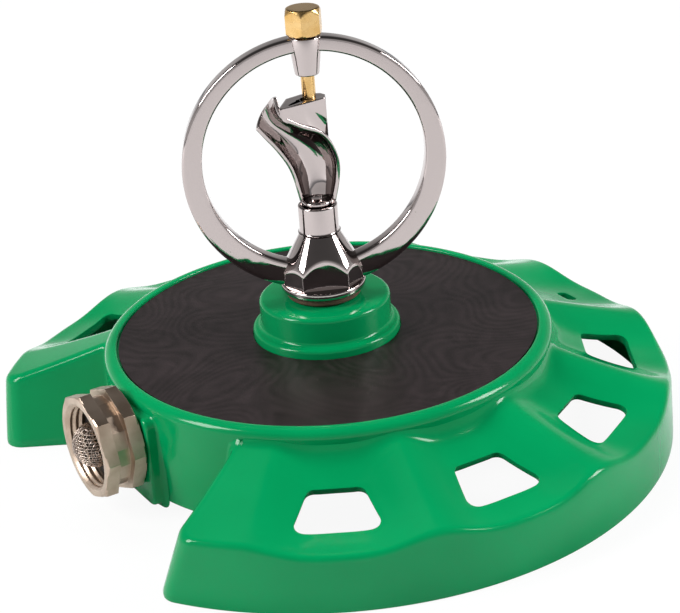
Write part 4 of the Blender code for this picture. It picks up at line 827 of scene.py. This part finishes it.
def hub_surface():
    """Hub over angle and height: the eight flats and the cone meet in one power sum.

    The radius is the sum of both radii to the power -70, to the power -1/70, which
    leaves a narrow rounded arc where the cone cuts each flat.
    """
    turn = np.linspace(0.0, 2.0 * np.pi, 288, endpoint=False)
    slant = math.atan2(SLANT_ALONG, SLANT_ACROSS)
    reach = SLANT_ACROSS * HUB_END_FLAT + SLANT_ALONG * END_FLAT_HALF
    reach /= math.hypot(SLANT_ACROSS, SLANT_ALONG)
    faces = [(0.0, HUB_END_FLAT), (math.pi, HUB_END_FLAT), (math.pi / 2.0, HUB_SIDE_FLAT),
             (-math.pi / 2.0, HUB_SIDE_FLAT)]
    faces += [(s * slant, reach) for s in (1, -1)] + [(math.pi - s * slant, reach) for s in (1, -1)]
    flats = soft_polygon(turn, faces, 130.0)
    rows = []
    for z in np.concatenate([[HUB_FOOT - 0.1, HUB_FOOT], np.linspace(HUB_FOOT + 0.3, NECK_FOOT, 58)]):
        cone = 6.5 + 0.55 * (NECK_FOOT - z)
        rows.append((z, (flats ** -70.0 + cone ** -70.0) ** (-1.0 / 70.0)))
    return stacked(turn, rows)


def hoop_surface():
    """Ring: a rounded oblong section carried round between the outer circle and a slightly higher hole.

    The section is the curve on which the sixth powers of width and depth, each
    over its half size, add up to 1.
    """
    turn = np.linspace(0.0, 2.0 * np.pi, 288, endpoint=False)
    inner = HOLE_RISE * np.sin(turn) + np.sqrt(RING_HOLE ** 2 - (HOLE_RISE * np.cos(turn)) ** 2)
    around = np.linspace(0.0, 2.0 * np.pi, 56, endpoint=False)
    c, s = np.cos(around), np.sin(around)
    power = 2.0 / 6.0
    across = np.sign(c) * np.abs(c) ** power
    deep = np.sign(s) * np.abs(s) ** power * RING_HALF_DEPTH
    radius = (RING_OUTER + inner)[:, None] / 2.0 + (RING_OUTER - inner)[:, None] / 2.0 * across[None, :]
    points = np.stack([radius * np.cos(turn)[:, None], np.broadcast_to(deep, radius.shape),
                       RING_CENTRE + radius * np.sin(turn)[:, None]], axis=-1)
    closed = np.concatenate([points, points[:, :1]], axis=1)
    return closed, quads(closed.shape[0], closed.shape[1], closed=True)


flange_section = bend(13.3, 54.4, 0.7, -90, 0, 4) + bend(13.3, 55.5, 0.7, 0, 90, 4)
flange_section += [(5.5, 56.2), (5.5, 53.7)]
neck_section = bend(5.9, 82.2, 0.6, 0, 90, 4) + [(5.8, 82.8), (5.6, 82.6), (5.6, 72.0), (6.2, 72.0)]
neck_section += bend(7.3, 74.2, 0.8, 250, 180, 4)
boss_section = bend(5.0, 138.9, 0.4, 7, 90, 4) + [(4.0, 139.3), (3.9, 139.2), (3.9, 138.3), (2.7, 138.3)]
boss_section += [(2.7, 126.9), (2.9, 126.7)] + bend(3.5, 127.2, 0.5, -90, 7, 4) + [(4.7, 133.0)]
for name, skin, flip in (("frame_hub", hub_surface(), False), ("frame_ring", hoop_surface(), True),
                         ("frame_flange", turned(flange_section, 160), False),
                         ("frame_neck", turned(neck_section, 128), False),
                         ("frame_top_boss", turned(boss_section, 128), False)):
    make_piece(name, skin, chrome, "base", ("ring_frame",), turn=RING_TURN, flip=flip, sharp=50.0)


# Spinning scoop
# Chromed zinc casting: a twisted half-tube that throws the jet outwards and
# drives itself round, a collar at its foot, and a block that the pivot runs in.

SPINNER_TURN = math.radians(61.0)
LOWER_RIM = ((-4.3, 0.5, 84.2), (-5.0, 0.8, 88.0), (-6.0, 1.2, 92.8), (-7.6, 1.8, 97.6), (-10.8, 2.6, 103.3),
             (-13.9, 3.2, 107.6), (-16.7, 3.6, 111.4))
UPPER_RIM = ((4.9, 0.5, 83.6), (6.6, 0.9, 91.2), (6.7, 2.0, 98.5), (3.1, 4.4, 106.9), (-4.3, 7.4, 111.5),
             (-9.7, 8.6, 115.7), (-11.5, 6.8, 121.5))
SCOOP_DEPTHS = (4.6, 6.0, 7.0, 7.8, 8.2, 7.6, 6.0)
SCOOP_WALL = 1.3
BLOCK_TOP = 118.7
DISH_RADIUS = 7.0
DISH_UP = 0.79
DISH_ALONG = 0.62
DISH_SQUARE = 0.787
FRONT_STEPS = 72


def through(knots, t):
    """Smooth curve through evenly spaced knots.

    It is made of cubic pieces, whose slope at a knot is that of the chord between
    the knots on either side.
    """
    knots = np.asarray(knots, float)
    knots = knots.reshape(len(knots), -1)
    spans = len(knots) - 1
    padded = np.concatenate([2 * knots[:1] - knots[1:2], knots, 2 * knots[-1:] - knots[-2:-1]])
    place = np.clip(t, 0.0, 1.0) * spans
    i = np.minimum(place.astype(int), spans - 1)
    f = (place - i)[:, None]
    p0, p1, p2, p3 = (padded[i + k] for k in range(4))
    return 0.5 * (2 * p1 + (p2 - p0) * f + (2 * p0 - 5 * p1 + 4 * p2 - p3) * f ** 2
                  + (3 * p1 - 3 * p2 + p3 - p0) * f ** 3)


def scoop_surface(outset=0.0):
    """Half ovals hung between two rims that twist as they climb; outset moves them out into the wall.

    The point at an angle is the middle of the rims, less half their distance times
    the cosine, and deeper by the depth times the sine.
    """
    t = np.linspace(0.0, 1.0, 89)
    low, high = through(LOWER_RIM, t), through(UPPER_RIM, t)
    depth = through(SCOOP_DEPTHS, t)[:, 0] + outset
    turn = np.linspace(0.0, np.pi, 49)
    middle, reach = (low + high) / 2.0, (high - low) / 2.0
    reach = reach * (1.0 + outset / np.linalg.norm(reach, axis=1)[:, None])
    points = middle[:, None] - reach[:, None] * np.cos(turn)[:, None]
    points[..., 1] -= depth[:, None] * np.sin(turn)
    points[..., 1] *= -1.0
    return points, quads(points.shape[0], points.shape[1])


scoop = make_piece("spinner_scoop", scoop_surface(), chrome, "rotor", ("spinner",), turn=SPINNER_TURN,
                   flip=True, sharp=0.0)
thicken(scoop, SCOOP_WALL, 0.4, even=True)


def top_block():
    """Block at the head of the scoop, as columns round its outline.

    A column starts in the scoop's wall, runs out to the block's foot, up the side,
    round the edge and in over the top.  The front side is dished by a slanting
    round hollow of radius R: at a distance d from its axis, the dish is as deep as
    the square root of R squared less d squared, less the axis's own distance.
    """
    plan = [(5.2, -1.0), (-9.6, -9.6), (-9.9, -8.2), (-7.6, 1.0), (-2.6, 4.6), (3.8, 4.4), (5.2, 2.8)]
    outline = window_outline(plan, 0.5, (FRONT_STEPS, 8, 16, 14, 14, 8, 10))
    front = np.arange(len(outline)) < FRONT_STEPS
    x = outline[:, 0]
    wall = scoop_surface(SCOOP_WALL / 2.0)[0].reshape(-1, 3)
    away = np.linalg.norm(wall[None, :, :2] - outline[:, None], axis=2)
    above = np.where(away < 0.7, wall[None, :, 2], 0.0).max(axis=1)
    rim = through(UPPER_RIM, np.linspace(0.34, 1.0, 80))
    rim_z, rim_y = (np.interp(-x, -rim[:, 0], rim[:, k]) for k in (2, 1))
    foot = np.where(front, rim_z, np.minimum(np.maximum(106.1 - 0.74 * x, above), BLOCK_TOP - 1.0))
    foot = np.convolve(np.concatenate([foot[-2:], foot, foot[:2]]), np.ones(5) / 5.0, "valid")
    feet = np.column_stack([outline, foot])
    nearest = wall[np.linalg.norm(wall[None] - feet[:, None], axis=2).argmin(axis=1)]
    root = np.where(front[:, None], np.column_stack([x, -rim_y, rim_z + 0.3]), nearest)

    right, left = np.array(plan[0]), np.array(plan[1])
    along = (left - right) / np.linalg.norm(left - right)
    outward = np.array([-along[1], along[0]])
    centre = outline.mean(axis=0)
    inward = (centre - outline) / np.linalg.norm(centre - outline, axis=1)[:, None]
    rings = [root, np.column_stack([outline, foot])]
    for share in np.concatenate([[0.02, 0.05], np.linspace(0.1, 0.95, 30), [0.98, 1.0]]):
        z = foot + (BLOCK_TOP - 0.4 - foot) * share
        rings.append(np.column_stack([outline, z]))
    for inset, down in ((0.06, 0.2), (0.2, 0.06), (0.4, 0.0), (1.0, 0.0), (4.0, 0.0)):
        rings.append(np.column_stack([outline + inward * inset, np.full(len(x), BLOCK_TOP - down)]))
    points = np.stack(rings, axis=1)
    fallen = (BLOCK_TOP + 1.5 - points[..., 2]) / DISH_UP
    run = (points[..., :2] - right) @ along
    aside = (run - (10.2 - DISH_ALONG * fallen)) * DISH_SQUARE
    dip = np.sqrt(np.maximum(DISH_RADIUS ** 2 - aside ** 2, 0.0)) - (7.4 - 0.09 * fallen)
    dip = np.where(front[:, None] & (np.arange(points.shape[1]) > 0), np.maximum(dip, 0.0), 0.0)
    points[..., :2] -= dip[..., None] * outward
    return points, quads(points.shape[0], points.shape[1], closed=True)


collar_section = bend(4.6, 83.8, 0.4, 0, 90, 4) + [(3.5, 84.2), (3.1, 83.8), (3.1, 77.4), (3.4, 77.1)]
collar_section += [(4.3, 77.1), (4.6, 77.4), (4.6, 81.8), (4.75, 82.6)]
collar = turned(collar_section, 112)
make_piece("spinner_collar", collar, chrome, "rotor", ("spinner",), turn=SPINNER_TURN, sharp=50.0)
make_piece("spinner_block", top_block(), chrome, "rotor", ("spinner",), turn=SPINNER_TURN, sharp=35.0)
dress("pivot_seat", wire)


# Speed screw
# Turned brass screw with a hexagonal head.  Its thread runs in the top boss, under
# a small rubber ring, and its plain end is the scoop's upper pivot.

HEAD_TOP = 148.3
HEAD_ACROSS = 5.4


def screw_head():
    """Head over angle and height: a hexagon cut by the rounded top and foot that the lathe left."""
    turn = (np.arange(12)[:, None] * math.pi / 6.0 + math.radians(24.0)
            + np.radians([-13.0, -8.0, -3.0, -0.8, -0.25, 0.25, 0.8, 3.0, 8.0, 13.0])).ravel()
    hexagon = soft_polygon(turn, even_corners(6, HEAD_ACROSS, math.radians(54.0)), 300.0)
    circles = [(139.8, 2.5), (139.8, 5.1), (139.8, 5.3), (139.95, 5.6), (140.3, 6.0), (140.6, 6.3),
               (140.75, 9.0), (146.15, 9.0)]
    circles += [(HEAD_TOP - down, HEAD_ACROSS + 0.835 * ((down - 0.45) / 1.55) ** 0.8)
                for down in (2.0, 1.6, 1.2, 0.8, 0.45)]
    circles += [(148.1, 5.3), (148.25, 5.0), (HEAD_TOP, 4.6), (HEAD_TOP, 4.2), (HEAD_TOP, 0.0)]
    return stacked(turn, [(z, np.minimum(hexagon, circle)) for z, circle in circles])


shank = turned([(0.0, 140.0), (2.3, 140.0), (2.4, 139.8), (2.4, 127.0), (2.2, 126.8), (2.2, 115.2),
                (2.0, 114.7), (1.3, 114.4), (0.0, 114.4)], 72)
make_piece("screw_head", screw_head(), brass, "screw", ("adjusting_screw",), sharp=24.0)
make_piece("screw_shank", shank, brass, "screw", ("adjusting_screw",), flip=True, sharp=40.0)
dress("screw_o_ring", rubber)


# Studio
# White table and backdrop, two softboxes at the sides, one above that makes no
# reflection because the enamel shows no glare from above, and a dim room that
# only mirrors in glossy surfaces.

WHITE = (1.0, 1.0, 1.0, 1.0)
DAYLIGHT = (0.9, 0.95, 1.0, 1.0)
ROOM_LIGHT = 0.34
PAPER_SHARE = 0.93
ROOM_LEVELS = ((0.0, 0.75), (0.22, 0.5), (0.45, 0.12), (1.0, 0.04))
VIEW_AZIMUTH = math.radians(61.06)
AIM_HEIGHT = 0.05
TABLE_HALF = 4.0
TABLE_DROP = -0.0003


def table_finish():
    """Matt white laminate under the object; the camera sees it as white paper with the shadow kept."""
    material = bpy.data.materials.new("matt_white_table")
    material.use_nodes = True
    material.node_tree.nodes.clear()
    place = node(material, "TexCoord").outputs["Object"]
    grain = node(material, "TexNoise", {"Vector": place, "Scale": 9.0})
    tone = node(material, "ValToRGB", {"Fac": grain}, [(0.0, linear("#E4E4E4")), (1.0, linear("#E8E8E8"))])
    lit = node(material, "BsdfDiffuse", {"Color": tone})
    glow = node(material, "Emission", {"Color": WHITE, "Strength": 1.0})
    seen = node(material, "LightPath")
    share = node(material, "Math", {0: seen.outputs["Is Camera Ray"], 1: PAPER_SHARE}, operation="MULTIPLY")
    both = node(material, "MixShader", {0: share, 1: lit, 2: glow})
    node(material, "OutputMaterial", {"Surface": both})
    return material


def studio_world():
    """Even grey light on the object, white for the camera, and a dim room with a bright horizon to mirror."""
    world = bpy.data.worlds.new("studio")
    bpy.context.scene.world = world
    world.use_nodes = True
    world.node_tree.nodes.clear()
    path = node(world, "LightPath")
    direction = node(world, "TexCoord").outputs["Generated"]
    height = node(world, "SeparateXYZ", {"Vector": direction})
    room = node(world, "ValToRGB", {"Fac": height.outputs["Z"]},
                [(up, (level, level, level, 1.0)) for up, level in ROOM_LEVELS])
    grey = node(world, "Background", {"Color": DAYLIGHT, "Strength": ROOM_LIGHT})
    mirrored = node(world, "Background", {"Color": room, "Strength": 1.0})
    white = node(world, "Background", {"Color": WHITE, "Strength": 1.0})
    first = node(world, "MixShader", {0: path.outputs["Is Glossy Ray"], 1: grey, 2: mirrored})
    direct = node(world, "Math", {0: path.outputs["Is Camera Ray"], 1: path.outputs["Is Transmission Ray"]},
                  operation="MAXIMUM")
    second = node(world, "MixShader", {0: direct, 1: first, 2: white})
    node(world, "OutputWorld", {"Surface": second})


def softbox(name, azimuth, elevation, distance, width, height, watts, mirrored=True):
    """Rectangular lamp aimed at the object; azimuth counts clockwise from the photograph's viewpoint."""
    lamp = bpy.data.lights.new(name, "AREA")
    lamp.shape = "RECTANGLE"
    lamp.size = width
    lamp.size_y = height
    lamp.energy = watts
    holder = bpy.data.objects.new(name, lamp)
    around, up = VIEW_AZIMUTH - math.radians(azimuth), math.radians(elevation)
    aim = Vector((0.0, axis_y / 1000.0, AIM_HEIGHT))
    level = math.cos(up)
    place = aim + distance * Vector((math.sin(around) * level, -math.cos(around) * level, math.sin(up)))
    holder.location = place
    holder.rotation_euler = (aim - place).to_track_quat("-Z", "Y").to_euler()
    holder.visible_glossy = mirrored
    bpy.context.scene.collection.objects.link(holder)


table = bpy.data.meshes.new("table")
corners = [(TABLE_HALF * x, TABLE_HALF * y, TABLE_DROP) for x, y in ((-1, -1), (1, -1), (1, 1), (-1, 1))]
table.from_pydata(corners, [], [(0, 1, 2, 3)])
table.materials.append(table_finish())
table_top = bpy.data.objects.new("table", table)
bpy.context.scene.collection.objects.link(table_top)
studio_world()
softbox("softbox_left", azimuth=72.0, elevation=36.0, distance=1.3, width=0.40, height=0.65, watts=17.0)
softbox("softbox_right", azimuth=-84.0, elevation=30.0, distance=1.3, width=0.35, height=0.60, watts=15.5)
softbox("softbox_top", azimuth=160.0, elevation=62.0, distance=1.4, width=0.9, height=0.6, watts=9.0,
        mirrored=False)

# The camera that was fitted to the photograph: its place in metres from the foot of the spin axis,
# seen from the viewpoint's azimuth, then how far it looks down and how far it is rolled, in degrees.
SENSOR = 36.0
LENS = 101.94
SHIFT_X = 0.02976
SHIFT_Y = 0.02466
EYE = (-0.00232, -0.58468, 0.31104)
LOOKS_DOWN = 24.894
ROLLED = -4.546

camera = bpy.data.objects.new("camera", bpy.data.cameras.new("camera"))
camera.data.sensor_width = SENSOR
camera.data.lens = LENS
camera.data.shift_x = SHIFT_X
camera.data.shift_y = SHIFT_Y
camera.matrix_world = (Matrix.Translation((0.0, axis_y / 1000.0, 0.0)) @ Matrix.Rotation(VIEW_AZIMUTH, 4, "Z")
                       @ Matrix.Translation(EYE)
                       @ Matrix.Rotation(math.radians(90.0 - LOOKS_DOWN), 4, "X")
                       @ Matrix.Rotation(math.radians(ROLLED), 4, "Z"))
bpy.context.scene.collection.objects.link(camera)
bpy.context.scene.camera = camera
bpy.context.scene.view_settings.view_transform = "Standard"
